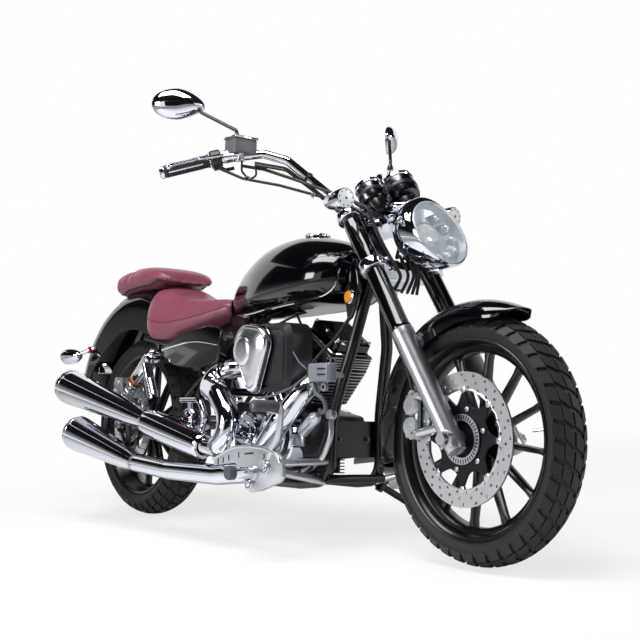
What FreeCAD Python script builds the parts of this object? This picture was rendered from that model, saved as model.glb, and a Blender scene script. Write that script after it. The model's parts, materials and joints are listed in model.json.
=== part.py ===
import FreeCAD, Part
import Sketcher
import json
import math
import os

from FreeCAD import Matrix, Placement, Rotation, Vector

# Cruiser motorcycle with a steel cradle frame, an air-cooled V-twin, a telescopic fork and twin
# stacked mufflers, leaning on its side stand.
#
# Everything is modelled in the upright machine's frame, in millimetres: +X forward, +Y to the
# rider's left, +Z up, with the origin on the ground half way between the axles.  One placement
# then leans the whole machine on to its stand and puts the origin under the middle of its box.

# ---------------------------------------------------------------- driving dimensions
SIZES = {
    # stance and steering geometry
    "wheelbase": 1614, "lean": 8, "rake": 34.8, "fork_lead": 50, "leg_spread": 99.6,
    "axle_radius": 10, "pin_clearance": 0.05, "soft_gap": 1.0,
    # wheels: tyre, rim and hub
    "front_tyre_radius": 302, "front_tyre_half": 52, "front_rim_half": 40, "front_hub_half": 54,
    "rear_tyre_radius": 311, "rear_tyre_half": 70, "rear_rim_half": 56, "rear_hub_half": 74,
    "rim_inner": 208, "rim_shoulder": 226, "rim_outer": 232, "flange_radius": 241, "flange_width": 6,
    "tyre_bead": 232.5,
    "hub_radius": 38, "spoke_count": 12, "spoke_width": 15, "spoke_depth": 26, "spoke_phase": -6.5,
    # brake discs
    "disc_radius": 161, "disc_inner": 117, "disc_thickness": 5, "disc_hole": 3.2,
    "rear_disc_radius": 132, "rear_disc_inner": 92, "disc_rows": 20,
    "front_disc_side": 60, "rear_disc_side": 80, "carrier_thickness": 6, "carrier_hub": 52,
    # fork and steering head
    "cover_radius": 26, "slider_radius": 27, "slider_top": 322, "lower_clamp": 531, "upper_clamp": 706,
    "cap_top": 722, "head_low": 549, "head_high": 690, "head_radius": 29, "stem_radius": 15,
    # handlebar
    "bar_radius": 12.7, "grip_radius": 17.5,
    # frame tubes
    "down_tube": 16, "cradle_tube": 16, "backbone_tube": 22, "rail_tube": 11,
    # engine
    "crank_x": 93, "crank_z": 337, "cylinder_tilt": 33.5, "fin_half": 82, "fin_thickness": 4,
    "fin_pitch": 11, "fin_rows": 11, "barrel_radius": 58, "case_half": 92,
    # front cross plate
    "plate_width": 172, "plate_height": 100, "plate_thickness": 4, "plate_hole": 5.5,
    "plate_hole_spacing": 96, "plate_x": 312, "plate_z": 289,
    # side stand
    "pipe_radius": 28, "stand_radius": 10, "stand_foot": 34, "stand_pin": 7,
    "shock_stud": 8,
    # fenders
    "front_fender_room": 36, "front_fender_half": 66, "front_fender_crown": 46, "rear_fender_radius": 440,
    "rear_fender_half": 105, "rear_fender_crown": 70, "rear_fender_lift": 38, "rear_fender_ahead": 6,
    "fender_wall": 3, "rail_room": 134, "base_thickness": 8,
}

doc = FreeCAD.newDocument("Motorcycle")
sheet = doc.addObject("Spreadsheet::Sheet", "Sizes")
for row, (alias, amount) in enumerate(SIZES.items(), start=1):
    sheet.set(f"A{row}", alias)
    sheet.set(f"B{row}", str(amount))
    sheet.setAlias(f"B{row}", alias)
doc.recompute()
S = {alias: float(sheet.get(alias)) for alias in SIZES}

NODES = []          # (document object, its placement in the upright machine's frame)


def keep(obj, label, local=None):
    """Register one sub-part under its own label."""
    obj.Label = label
    NODES.append((obj, local or Placement()))
    return obj


def upright_shape(label):
    """Shape of an earlier sub-part, in the upright machine's frame."""
    obj, local = next(item for item in NODES if item[0].Label == label)
    if obj.Shape.isNull():
        doc.recompute()
    shape = obj.Shape.copy()
    shape.Placement = local
    return shape


def feature(label, shape, local=None, against=()):
    """A sub-part from Part's own functions, cut back to where it meets the pieces it rests against."""
    obj = doc.addObject("Part::Feature", label)
    where = (local or Placement()) * shape.Placement
    if against:
        shape = shape.copy()
        shape.Placement = where
        wanted = len(shape.Solids)
        for neighbour in against:
            shape = shape.cut(upright_shape(neighbour))
        largest = sorted(shape.Solids, key=lambda solid: -solid.Volume)[:wanted]
        shape = largest[0] if wanted == 1 else Part.makeCompound(largest)
        where = shape.Placement
    obj.Shape = shape
    return keep(obj, label, where)


# ---------------------------------------------------------------- frames of reference
FRONT_AXLE = Vector(S["wheelbase"] / 2, 0, S["front_tyre_radius"])
REAR_AXLE = Vector(-S["wheelbase"] / 2, 0, S["rear_tyre_radius"])
RAKE = math.radians(S["rake"])
STEER_UP = Vector(-math.sin(RAKE), 0, math.cos(RAKE))
STEER_AHEAD = Vector(math.cos(RAKE), 0, math.sin(RAKE))
STEER_FOOT = FRONT_AXLE - STEER_AHEAD * S["fork_lead"]
# Steering frame: local Z up the steering axis, local X ahead of it, Z = 0 level with the axle.
STEER = Placement(STEER_FOOT, Rotation(Vector(0, 1, 0), -S["rake"]))
# Wheel frames: local Z along the axle to the rider's right, local X forward, local Y up.
SIDEWAYS = Rotation(Vector(1, 0, 0), 90)
FRONT_WHEEL = Placement(FRONT_AXLE, SIDEWAYS)
REAR_WHEEL = Placement(REAR_AXLE, SIDEWAYS)
# The rear fender is an arch round its own centre, a little above and ahead of the rear axle.
FENDER_CENTRE = REAR_AXLE + Vector(S["rear_fender_ahead"], 0, S["rear_fender_lift"])
REAR_ARCH = Placement(FENDER_CENTRE, SIDEWAYS)
FENDER_TOP = FENDER_CENTRE.z + S["rear_fender_radius"]
FENDER_BACK = FENDER_CENTRE.x - S["rear_fender_radius"]


def aft(forward, left, up):
    """A point given from the rear axle."""
    return (REAR_AXLE.x + forward, left, REAR_AXLE.z + up)



# Side stand: pivot below the left cradle rail, foot on the leaning machine's ground plane, and an
# axis square to both the deployed leg and the folded one.
LEAN = math.radians(S["lean"])
GROUND_UP = Vector(0, -math.sin(LEAN), math.cos(LEAN))
STAND_PIVOT = Vector(272, 138, 158)
STAND_FOOT = Vector(300, 330, 330 * math.tan(LEAN) - S["rear_tyre_half"] * (1 - math.cos(LEAN)))
FOLDED = Vector(-1, 0.12, 0.05)
STAND_AXIS = (STAND_FOOT - STAND_PIVOT).cross(FOLDED).normalize()


# Upper and lower eye of the right spring unit.
SHOCK_TOP = Vector(*aft(241, -138, 237))
SHOCK_FOOT = Vector(*aft(7, -138, 61))

# ---------------------------------------------------------------- shape helpers
def rod(start, end, radius):
    """Round bar between two points."""
    start, end = Vector(*start), Vector(*end)
    axis = end - start
    return Part.makeCylinder(radius, axis.Length, start, axis)


def block(low, high):
    """Box between two corners."""
    low, high = Vector(*low), Vector(*high)
    size = high - low
    return Part.makeBox(size.x, size.y, size.z, low)


def taper(start, end, first_radius, last_radius):
    """Cone between two points."""
    start, end = Vector(*start), Vector(*end)
    axis = end - start
    return Part.makeCone(first_radius, last_radius, axis.Length, start, axis)


def joined(solids):
    """One solid out of several that overlap."""
    solids = list(solids)
    fused = solids[0].multiFuse(solids[1:]).removeSplitter()
    return fused.Solids[0] if len(fused.Solids) == 1 else fused


def mirrored(shape):
    """The same shape on the other side of the machine."""
    return shape.mirror(Vector(), Vector(0, 1, 0))


def pair(shape):
    """A shape and its mirror image, as one compound."""
    return Part.makeCompound([shape, mirrored(shape)])


def route(points, bend):
    """Wire of straight runs joined by tangent arcs of the given radius, or a radius per bend."""
    points = [Vector(*point) for point in points]
    bends = [bend] * (len(points) - 2) if isinstance(bend, (int, float)) else list(bend)
    edges = []
    here = points[0]
    for before, corner, after, radius in zip(points, points[1:], points[2:], bends):
        into = (corner - before).normalize()
        out = (after - corner).normalize()
        turn = into.getAngle(out)
        setback = radius * math.tan(turn / 2)
        first = corner - into * setback
        last = corner + out * setback
        middle = corner + (out - into).normalize() * (radius / math.cos(turn / 2) - radius)
        edges.append(Part.LineSegment(here, first).toShape())
        edges.append(Part.Arc(first, middle, last).toShape())
        here = last
    edges.append(Part.LineSegment(here, points[-1]).toShape())
    return Part.Wire(edges)


def tube(points, radius, bend=60):
    """Round bar bent along a route."""
    path = route(points, bend)
    start = path.OrderedEdges[0]
    ring = Part.Circle(start.valueAt(start.FirstParameter), start.tangentAt(start.FirstParameter), radius)
    return path.makePipe(Part.Face(Part.Wire(ring.toShape())))


def oval(centre, across, up, half_width, top, bottom):
    """Closed section of two half ellipses that share their width but not their height."""
    arcs = []
    for first, second, height in ((across, up, top), (-across, -up, bottom)):
        if height >= half_width:
            curve = Part.Ellipse(centre + second * height, centre - first * half_width, centre)
            low, high = -math.pi / 2, math.pi / 2
        else:
            curve = Part.Ellipse(centre + first * half_width, centre + second * height, centre)
            low, high = 0, math.pi
        arcs.append(Part.ArcOfEllipse(curve, low, high).toShape())
    return Part.Wire(arcs)


def body_loft(stations):
    """Solid through upright oval stations: x, half width, top, widest level and bottom."""
    wires = []
    for x, half_width, top, level, bottom in stations:
        wires.append(oval(Vector(x, 0, level), Vector(0, 1, 0), Vector(0, 0, 1), half_width,
                          top - level, level - bottom))
    return Part.makeLoft(wires, True, False)


def round_loft(stations, up):
    """Solid through elliptic stations: centre, axis, half width and half height."""
    wires = []
    for centre, axis, half_width, half_height in stations:
        centre, axis = Vector(*centre), Vector(*axis).normalize()
        across = up.cross(axis).normalize()
        rise = axis.cross(across)
        wires.append(oval(centre, across, rise, half_width, half_height, half_height))
    return Part.makeLoft(wires, True, False)


def turned(outline, axis_from, axis_to, degrees=360):
    """Solid turned from a closed outline in the XZ plane, about an axis in that plane."""
    face = Part.Face(Part.makePolygon([Vector(x, 0, z) for x, z in outline + outline[:1]]))
    return face.revolve(Vector(*axis_from), Vector(*axis_to) - Vector(*axis_from), degrees)


# ---------------------------------------------------------------- PartDesign helpers
def origin_plane(body, role):
    return next(item for item in body.Origin.OriginFeatures if item.Role == role)


def sketch_on(body, name, role):
    sketch = body.newObject("Sketcher::SketchObject", name)
    sketch.AttachmentSupport = (origin_plane(body, role), [""])
    sketch.MapMode = "FlatFace"
    return sketch


def bind(sketch, kind, items, formula):
    """Add a constraint driven by a formula of the spreadsheet's aliases."""
    index = sketch.addConstraint(Sketcher.Constraint(kind, *items))
    sketch.setExpression(f"Constraints[{index}]", formula)


def bound_circle(sketch, alias):
    """Circle about the sketch's origin with its radius in the spreadsheet."""
    index = sketch.addGeometry(Part.Circle(Vector(), Vector(0, 0, 1), S[alias]), False)
    sketch.addConstraint(Sketcher.Constraint("Coincident", index, 3, -1, 1))
    bind(sketch, "Radius", (index, S[alias]), f"Sizes.{alias}")


def bound_box(sketch, left, right, low, high):
    """Rectangle whose four sides each come from a (number, formula) pair."""
    (x0, _), (x1, _), (y0, _), (y1, _) = left, right, low, high
    corners = [Vector(x0, y0), Vector(x1, y0), Vector(x1, y1), Vector(x0, y1)]
    first = sketch.GeometryCount
    for start, end in zip(corners, corners[1:] + corners[:1]):
        sketch.addGeometry(Part.LineSegment(start, end), False)
    for step in range(4):
        sketch.addConstraint(Sketcher.Constraint("Coincident", first + step, 2, first + (step + 1) % 4, 1))
    for line, kind in ((0, "Horizontal"), (2, "Horizontal"), (1, "Vertical"), (3, "Vertical")):
        sketch.addConstraint(Sketcher.Constraint(kind, first + line))
    for line, kind, side in ((0, "DistanceX", left), (0, "DistanceY", low), (2, "DistanceX", right),
                             (2, "DistanceY", high)):
        bind(sketch, kind, (-1, 1, first + line, 1, side[0]), side[1])


def bound_outline(sketch, spots):
    """Closed outline whose corners are each two (number, formula) pairs."""
    corners = [Vector(across[0], along[0], 0) for across, along in spots]
    for start, end in zip(corners, corners[1:] + corners[:1]):
        sketch.addGeometry(Part.LineSegment(start, end), False)
    for line, (across, along) in enumerate(spots):
        before = line - 1 if line else len(spots) - 1
        sketch.addConstraint(Sketcher.Constraint("Coincident", before, 2, line, 1))
        bind(sketch, "DistanceX", (-1, 1, line, 1, across[0]), across[1])
        bind(sketch, "DistanceY", (-1, 1, line, 1, along[0]), along[1])


def pad(body, sketch, length, formula, both_ways=True):
    feature_ = body.newObject("PartDesign::Pad", sketch.Name + "Pad")
    feature_.Profile = sketch
    feature_.Length = length
    feature_.Midplane = both_ways
    feature_.setExpression("Length", formula)
    sketch.Visibility = False
    return feature_


def around(body, original, count, formula):
    """Polar pattern of one feature about the body's Z axis."""
    ring = body.newObject("PartDesign::PolarPattern", original.Name + "Ring")
    ring.Originals = [original]
    ring.Axis = (next(item for item in body.Origin.OriginFeatures if item.Role == "Z_Axis"), [""])
    ring.Angle = 360
    ring.Occurrences = int(count)
    ring.setExpression("Occurrences", formula)
    body.Tip = ring
    return ring


# ---------------------------------------------------------------- wheels
def wheel(end, frame):
    """Cast wheel as a turned rim and hub with a ring of spokes."""
    body = doc.addObject("PartDesign::Body", f"{end}_wheel")
    half = f"{end}_rim_half"
    lip = S["flange_width"]
    sections = sketch_on(body, f"{end}_sections", "XZ_Plane")
    well = S["spoke_depth"] / 2 + 2
    # corners of one half of the rim section: radius, distance from the middle plane
    corners = [("rim_inner", well, "Sizes.spoke_depth / 2 + 2"),
               ("rim_shoulder", S[half] + lip, f"(Sizes.{half} + Sizes.flange_width)"),
               ("flange_radius", S[half] + lip, f"(Sizes.{half} + Sizes.flange_width)"),
               ("flange_radius", S[half], f"Sizes.{half}"), ("rim_outer", S[half], f"Sizes.{half}")]
    spots = [((S[name], f"Sizes.{name}"), (side * away, f"{side} * ({formula})"))
             for side, half_section in ((1, corners), (-1, corners[::-1]))
             for name, away, formula in half_section]
    bound_outline(sections, spots)
    rim = body.newObject("PartDesign::Revolution", f"{end}_rim")
    rim.Profile = sections
    rim.ReferenceAxis = (sections, ["V_Axis"])
    rim.Angle = 360
    doc.recompute()
    spoke = sketch_on(body, f"{end}_spoke", "XY_Plane")
    bound_box(spoke, (S["hub_radius"] - 6, "Sizes.hub_radius - 6"),
              (S["rim_inner"] + 2, "Sizes.rim_inner + 2"),
              (-S["spoke_width"] / 2, "-Sizes.spoke_width / 2"),
              (S["spoke_width"] / 2, "Sizes.spoke_width / 2"))
    bar = pad(body, spoke, S["spoke_depth"], "Sizes.spoke_depth")
    doc.recompute()
    around(body, bar, S["spoke_count"], "Sizes.spoke_count")
    doc.recompute()
    hub_sketch = sketch_on(body, f"{end}_hub_sketch", "XY_Plane")
    bound_circle(hub_sketch, "hub_radius")
    pad(body, hub_sketch, 2 * S[f"{end}_hub_half"], f"2 * Sizes.{end}_hub_half")
    doc.recompute()
    bore_sketch = sketch_on(body, f"{end}_bore_sketch", "XY_Plane")
    index = bore_sketch.addGeometry(Part.Circle(Vector(), Vector(0, 0, 1), S["axle_radius"] + 1), False)
    bore_sketch.addConstraint(Sketcher.Constraint("Coincident", index, 3, -1, 1))
    bind(bore_sketch, "Radius", (index, S["axle_radius"] + 1), "Sizes.axle_radius + Sizes.pin_clearance")
    bore = body.newObject("PartDesign::Pocket", f"{end}_bore")
    bore.Profile = bore_sketch
    bore.Type = "ThroughAll"
    bore.Midplane = True
    body.Tip = bore
    turn = Placement(Vector(), Rotation(Vector(0, 0, 1), S["spoke_phase"]))
    keep(body, f"{end}_wheel", frame * turn)
    return body


def tyre(end, frame):
    """Tyre as a closed ring: bead, bulging side walls and a round crown."""
    radius, half, rim_half = S[f"{end}_tyre_radius"], S[f"{end}_tyre_half"], S[f"{end}_rim_half"]
    bead = S["tyre_bead"]
    shoulder = (radius - 0.32 * half, 0.86 * half)
    edges = []
    for side in (-1, 1):
        inner = Vector(bead, 0, side * (rim_half - 0.5))
        lip = Vector(S["flange_radius"] + 2, 0, side * (rim_half - 0.5))
        bulge = Vector((S["flange_radius"] + shoulder[0]) / 2, 0, side * half)
        edge = Vector(shoulder[0], 0, side * shoulder[1])
        edges.append(Part.LineSegment(inner, lip).toShape())
        edges.append(Part.Arc(lip, bulge, edge).toShape())
    edges.append(Part.LineSegment(Vector(bead, 0, 0.5 - rim_half), Vector(bead, 0, rim_half - 0.5)).toShape())
    crown = Part.Arc(Vector(shoulder[0], 0, -shoulder[1]), Vector(radius, 0, 0),
                     Vector(shoulder[0], 0, shoulder[1]))
    edges.append(crown.toShape())
    outline = Part.Wire(Part.__sortEdges__(edges))
    feature(f"{end}_tyre", Part.Face(outline).revolve(Vector(), Vector(0, 0, 1), 360), frame)


def disc(label, radius_alias, inner_alias, level, frame):
    """Drilled brake disc ring with its three rows of holes in a polar pattern."""
    body = doc.addObject("PartDesign::Body", label)
    ring_sketch = sketch_on(body, f"{label}_sketch", "XY_Plane")
    bound_circle(ring_sketch, radius_alias)
    bound_circle(ring_sketch, inner_alias)
    pad(body, ring_sketch, S["disc_thickness"], "Sizes.disc_thickness")
    doc.recompute()
    holes = sketch_on(body, f"{label}_holes", "XY_Plane")
    width = S[radius_alias] - S[inner_alias]
    for row, share in enumerate((0.22, 0.5, 0.78)):
        angle = math.radians(row * 360 / S["disc_rows"] / 3)
        reach = S[inner_alias] + share * width
        centre = Vector(reach * math.cos(angle), reach * math.sin(angle), 0)
        index = holes.addGeometry(Part.Circle(centre, Vector(0, 0, 1), S["disc_hole"]), False)
        bind(holes, "Radius", (index, S["disc_hole"]), "Sizes.disc_hole")
        share_x, share_y = math.cos(angle), math.sin(angle)
        along = f"(Sizes.{inner_alias} + {share} * (Sizes.{radius_alias} - Sizes.{inner_alias}))"
        bind(holes, "DistanceX", (-1, 1, index, 3, centre.x), f"{along} * {share_x:.6f}")
        if row:
            bind(holes, "DistanceY", (-1, 1, index, 3, centre.y), f"{along} * {share_y:.6f}")
        else:
            holes.addConstraint(Sketcher.Constraint("PointOnObject", index, 3, -1))
    drilled = body.newObject("PartDesign::Pocket", f"{label}_drilled")
    drilled.Profile = holes
    drilled.Type = "ThroughAll"
    drilled.Midplane = True
    doc.recompute()
    around(body, drilled, S["disc_rows"], "Sizes.disc_rows")
    keep(body, label, frame * Placement(Vector(0, 0, level), Rotation()))


def disc_carrier(label, inner_radius, level, hub_face, frame):
    """Carrier: a dished plate with arms out to the disc ring, on a boss against the hub."""
    plate = Part.makeCylinder(inner_radius * 0.66, S["carrier_thickness"], Vector(0, 0, level))
    arms = []
    for step in range(8):
        arm = Part.makeBox(inner_radius * 0.7, 22, S["carrier_thickness"],
                           Vector(inner_radius * 0.31, -11, level))
        arm.rotate(Vector(), Vector(0, 0, 1), step * 45 + 20)
        arms.append(arm)
    rim = Part.makeCylinder(inner_radius - 0.2, S["carrier_thickness"], Vector(0, 0, level))
    arms = [arm.common(rim) for arm in arms]
    boss = Part.makeCylinder(S["hub_radius"] + 6, level - hub_face, Vector(0, 0, hub_face))
    hole = Part.makeCylinder(S["hub_radius"] - 8, 80, Vector(0, 0, hub_face - 20))
    feature(label, joined([plate, boss] + arms).cut(hole), frame)


for end, frame in (("front", FRONT_WHEEL), ("rear", REAR_WHEEL)):
    wheel(end, frame)
    tyre(end, frame)
disc("front_disc", "disc_radius", "disc_inner", S["front_disc_side"] + S["disc_thickness"] / 2, FRONT_WHEEL)
disc("rear_disc", "rear_disc_radius", "rear_disc_inner", S["rear_disc_side"] + S["disc_thickness"] / 2,
     REAR_WHEEL)
disc_carrier("front_disc_carrier", S["disc_inner"], S["front_disc_side"] - 1, S["front_hub_half"],
             FRONT_WHEEL)
disc_carrier("rear_disc_carrier", S["rear_disc_inner"], S["rear_disc_side"] - 1, S["rear_hub_half"],
             REAR_WHEEL)


def axle(label, half_length, frame):
    """Axle with a head at each end, driven by the sheet."""
    shaft = doc.addObject("Part::Cylinder", f"{label}_shaft")
    shaft.Height = 2 * half_length
    shaft.setExpression("Radius", "Sizes.axle_radius")
    shaft.Placement = Placement(Vector(0, 0, -half_length), Rotation())
    parts = [shaft]
    for side in (-1, 1):
        head = doc.addObject("Part::Prism", f"{label}_head_{'left' if side < 0 else 'right'}")
        head.Polygon = 6
        head.setExpression("Circumradius", "Sizes.axle_radius + 6")
        head.Height = 10
        head.Placement = Placement(Vector(0, 0, side * half_length - 5), Rotation())
        parts.append(head)
    fused = doc.addObject("Part::MultiFuse", f"{label}_solid")
    fused.Shapes = parts
    return keep(fused, label, frame)


axle("front_axle", 134, FRONT_WHEEL)
axle("rear_axle", 142, REAR_WHEEL)


# ---------------------------------------------------------------- fork and steering, in the steering frame
def leg(low, high, radius):
    """Round leg at the right-hand side of the fork, along the steering frame's Z."""
    return Part.makeCylinder(radius, high - low, Vector(S["fork_lead"], -S["leg_spread"], low))


def fork():
    covers = leg(S["slider_top"] + 0.2, S["cap_top"], S["cover_radius"])
    feature("fork_covers", pair(covers), STEER)
    bottom = leg(-34, S["slider_top"], S["slider_radius"])
    lug = rod((S["fork_lead"], -S["leg_spread"] - 28, 0), (S["fork_lead"], -S["leg_spread"] + 26, 0), 21)
    spindle = rod((S["fork_lead"], -200, 0), (S["fork_lead"], 200, 0), S["axle_radius"] + S["pin_clearance"])
    stay = rod((S["fork_lead"], -84, 282), (S["fork_lead"], -S["front_fender_half"] - 0.2, 282), 14)
    feature("fork_sliders", pair(joined([bottom, lug, stay]).cut(spindle)), STEER)


def clamp_plate(level, thickness, reach):
    """Fork clamp: a plate between the two legs and the stem, bored for both legs."""
    ears = [Part.makeCylinder(S["cover_radius"] + 9, thickness, Vector(S["fork_lead"], side * S["leg_spread"],
                                                                      level)) for side in (-1, 1)]
    hub = Part.makeCylinder(S["head_radius"] + 3, thickness, Vector(0, 0, level))
    bridge = Part.makeBox(reach, 2 * S["leg_spread"], thickness, Vector(14, -S["leg_spread"], level))
    legs = [Part.makeCylinder(S["cover_radius"], thickness, Vector(S["fork_lead"], side * S["leg_spread"],
                                                                   level)) for side in (-1, 1)]
    return joined(ears + [hub, bridge]).cut(Part.makeCompound(legs))


def steering_clamps():
    low = clamp_plate(S["lower_clamp"] - 15, 30, 54)
    high = clamp_plate(S["upper_clamp"] - 12, 24, 54)
    stem = Part.makeCylinder(S["stem_radius"], S["upper_clamp"] - S["lower_clamp"] + 30,
                             Vector(0, 0, S["lower_clamp"] - 15))
    feature("steering_clamps", joined([low, high, stem]), STEER)


fork()
steering_clamps()

# Right half of the bar from its middle outwards: forward, left, up.
BAR = [(330, -50, 918), (206, -168, 1058), (150, -212, 1080), (75, -330, 1057), (-3, -450, 1015)]
BAR_BENDS = (45, 40, 60)


def handlebar():
    right = tube([(330, 0.0, 918)] + BAR, S["bar_radius"], (30,) + BAR_BENDS)
    risers = [rod((356, side * 36, 862), (333, side * 36, 922), 15) for side in (-1, 1)]
    caps = [rod((330, side * 36 - 14, 918), (330, side * 36 + 14, 918), 21) for side in (-1, 1)]
    feature("handlebar", joined([right, mirrored(right)] + risers + caps), against=("steering_clamps",))


def along_bar(first, last, radius, bore=None):
    """Sleeve round the bar's grip stretch, from one share of its length to another."""
    inner, outer = Vector(*BAR[3]), Vector(*BAR[4])
    run = outer - inner
    start = inner + run * first
    sleeve = Part.makeCylinder(radius, run.Length * (last - first), start, run)
    if bore:
        sleeve = sleeve.cut(Part.makeCylinder(bore, 2 * run.Length, inner - run * 0.5, run))
    return sleeve


def grips():
    feature("grips", pair(along_bar(0.06, 1.03, S["grip_radius"], S["bar_radius"] + 0.05)))


def hand_controls():
    """Clamp, switch housing and lever perch at each hand, the right one with the fluid reservoir."""
    bore = S["bar_radius"] + 0.05
    housing = along_bar(-0.16, 0.05, 26, bore)
    perch = joined([along_bar(-0.42, -0.2, 19), rod((113, -285, 1066), (140, -275, 1070), 12)])
    post = rod((119, -274, 1052), (120, -282, 1116), 10)
    body = block((96, -300, 1076), (148, -236, 1116))
    body = body.makeFillet(5, body.Edges)
    neck = rod((118, -268, 1052), (118, -268, 1080), 13)
    right, left = joined([perch, body, neck]), mirrored(joined([perch, post]))
    feature("lever_perches", Part.makeCompound([right, left]), against=("handlebar",))
    feature("switch_housings", pair(housing), against=("handlebar", "lever_perches"))


def levers():
    blade = tube([(138, -280, 1069), (112, -345, 1058), (88, -392, 1046), (60, -448, 1028)], 6, 50)
    tip = Part.makeSphere(8.5, Vector(60, -448, 1028))
    feature("hand_levers", pair(joined([blade, tip])), against=("lever_perches",))


# Mirror heads: side, middle of the head, turn in towards the rider in degrees.
MIRRORS = [(-1, (-45, 378, 1233), 38), (1, (12, 366, 1243), 46)]


def mirrors():
    """Oval mirror heads turned in towards the rider, on thin bent stems."""
    heads = []
    for side, middle, toe in MIRRORS:
        toe = math.radians(toe)
        centre = Vector(*middle)
        across = Vector(math.sin(toe), -math.cos(toe), 0)
        facing = Vector(math.cos(toe), math.sin(toe), 0)
        wires = []
        for depth, share in ((-6, 0.97), (4, 1.0), (18, 0.86), (30, 0.5)):
            wires.append(oval(centre + facing * depth, across, Vector(0, 0, 1), 68 * share, 43 * share,
                              43 * share))
        head = Part.makeLoft(wires, True, False)
        joint = centre + across * 58
        stem = tube([(120, 282, 1116), (120, 284, 1142), tuple(joint), tuple(centre + across * 20)], 5.5,
                    (10, 14))
        solid = joined([head, stem])
        heads.append(solid if side > 0 else mirrored(solid))
    feature("mirrors", Part.makeCompound(heads), against=("lever_perches",))


handlebar()
grips()
hand_controls()
levers()
mirrors()


def headlight():
    """Egg-shaped shell, open in front, with the lens set into its slanted face."""
    lean_back = math.radians(27.6)
    face = (math.cos(lean_back), 0, math.sin(lean_back))
    up = Vector(0, 0, 1)
    stations = [((650, 0, 824), face, 88, 99), ((618, 0, 826), (0.96, 0, 0.26), 93, 103),
                ((560, 0, 834), (1, 0, 0.05), 80, 86), ((517, 0, 840), (1, 0, 0), 46, 48)]
    shell = round_loft(stations, up)
    wall = 4
    hollow_stations = [((652, 0, 825), face, 88 - wall, 99 - wall)]
    hollow_stations += [(centre, axis, half - wall, tall - wall)
                        for centre, axis, half, tall in stations[1:3]]
    hollow_stations += [((524, 0, 840), (1, 0, 0), 40, 42)]
    shell = shell.cut(round_loft(hollow_stations, up))
    feature("headlight_shell", shell, against=("lamp_bracket",))
    centre = Vector(650, 0, 824)
    normal = Vector(*face)
    lens = round_loft([(tuple(centre - normal * 6), face, 83, 94), (tuple(centre + normal * 4), face, 83, 94),
                       (tuple(centre + normal * 14), face, 62, 72)], up)
    feature("headlight_lens", lens)


def lamp_bracket():
    """Arm from the upper fork clamp to the lamp, with a post up to each gauge."""
    arm = rod((404, 0, 868), (515, 0, 842), 15)
    cross = rod((442, -62, 872), (442, 62, 872), 9)
    posts = [rod((442, side * 52, 872), (453, side * 52, 934), 8) for side in (-1, 1)]
    stalks = [rod((446, side * 30, 871), (470, side * 150, 902), 6) for side in (-1, 1)]
    feature("lamp_bracket", joined([arm, cross] + posts + stalks), against=("steering_clamps",))


def gauges():
    """Two round instruments that face the rider, the left one larger."""
    facing = Vector(-0.6, 0, 0.8)
    pods = []
    for side, radius, length, height in ((-1, 36, 62, 944), (1, 46, 70, 968)):
        middle = Vector(437, side * 52, height)
        pods.append(Part.makeCylinder(radius, length, middle - facing * (length / 2), facing))
    feature("gauges", Part.makeCompound([pod.makeFillet(5, pod.Edges) for pod in pods]),
            against=("lamp_bracket",))


def bullet(face_centre, facing, radius, length):
    """Bullet lamp: flat front face, round belly, pointed tail."""
    centre, facing = Vector(*face_centre), Vector(*facing).normalize()
    outline = [(0, 0), (radius * 0.94, 0), (radius, length * 0.08), (radius, length * 0.3),
               (radius * 0.9, length * 0.55), (radius * 0.64, length * 0.8), (radius * 0.3, length * 0.97),
               (0, length)]
    solid = turned(outline, (0, 0, 0), (0, 0, 1))
    solid.Placement = Placement(centre, Rotation(Vector(0, 0, 1), -facing))
    return solid


def front_turn_signals():
    lamp = bullet((502, -191.7, 907.5), (1, -0.08, 0), 27.5, 98)
    stalk = rod((470, -150, 902), (462, -182, 904), 9)
    feature("front_turn_signals", pair(joined([lamp, stalk])), against=("lamp_bracket",))


lamp_bracket()
headlight()
gauges()
front_turn_signals()


def fender_shell(radius, half, wall, edge, first, last, crown):
    """Fender: a thin arched section swept round the axle in the wheel frame."""
    def arch(offset):
        low = Vector(edge, 0, -half + offset)
        knee = Vector(radius - crown, 0, -half + offset)
        top = Vector(radius - offset, 0, 0)
        side = Part.LineSegment(low, knee).toShape()
        other = Part.LineSegment(Vector(radius - crown, 0, half - offset),
                                 Vector(edge, 0, half - offset)).toShape()
        return side, Part.Arc(knee, top, Vector(radius - crown, 0, half - offset)).toShape(), other
    outer, inner = arch(0), arch(wall)
    ends = [Part.LineSegment(Vector(edge, 0, side * half), Vector(edge, 0, side * (half - wall))).toShape()
            for side in (-1, 1)]
    outline = Part.Wire(Part.__sortEdges__(list(outer) + list(inner) + ends))
    shell = Part.Face(outline)
    shell.rotate(Vector(), Vector(0, 0, 1), first)
    return shell.revolve(Vector(), Vector(0, 0, 1), last - first)


def wheel_opening(dx, dz, radius):
    """Round opening that trims a fender's side skirts, in the wheel frame."""
    return Part.makeCylinder(radius, 600, Vector(dx, dz, -300))


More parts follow.
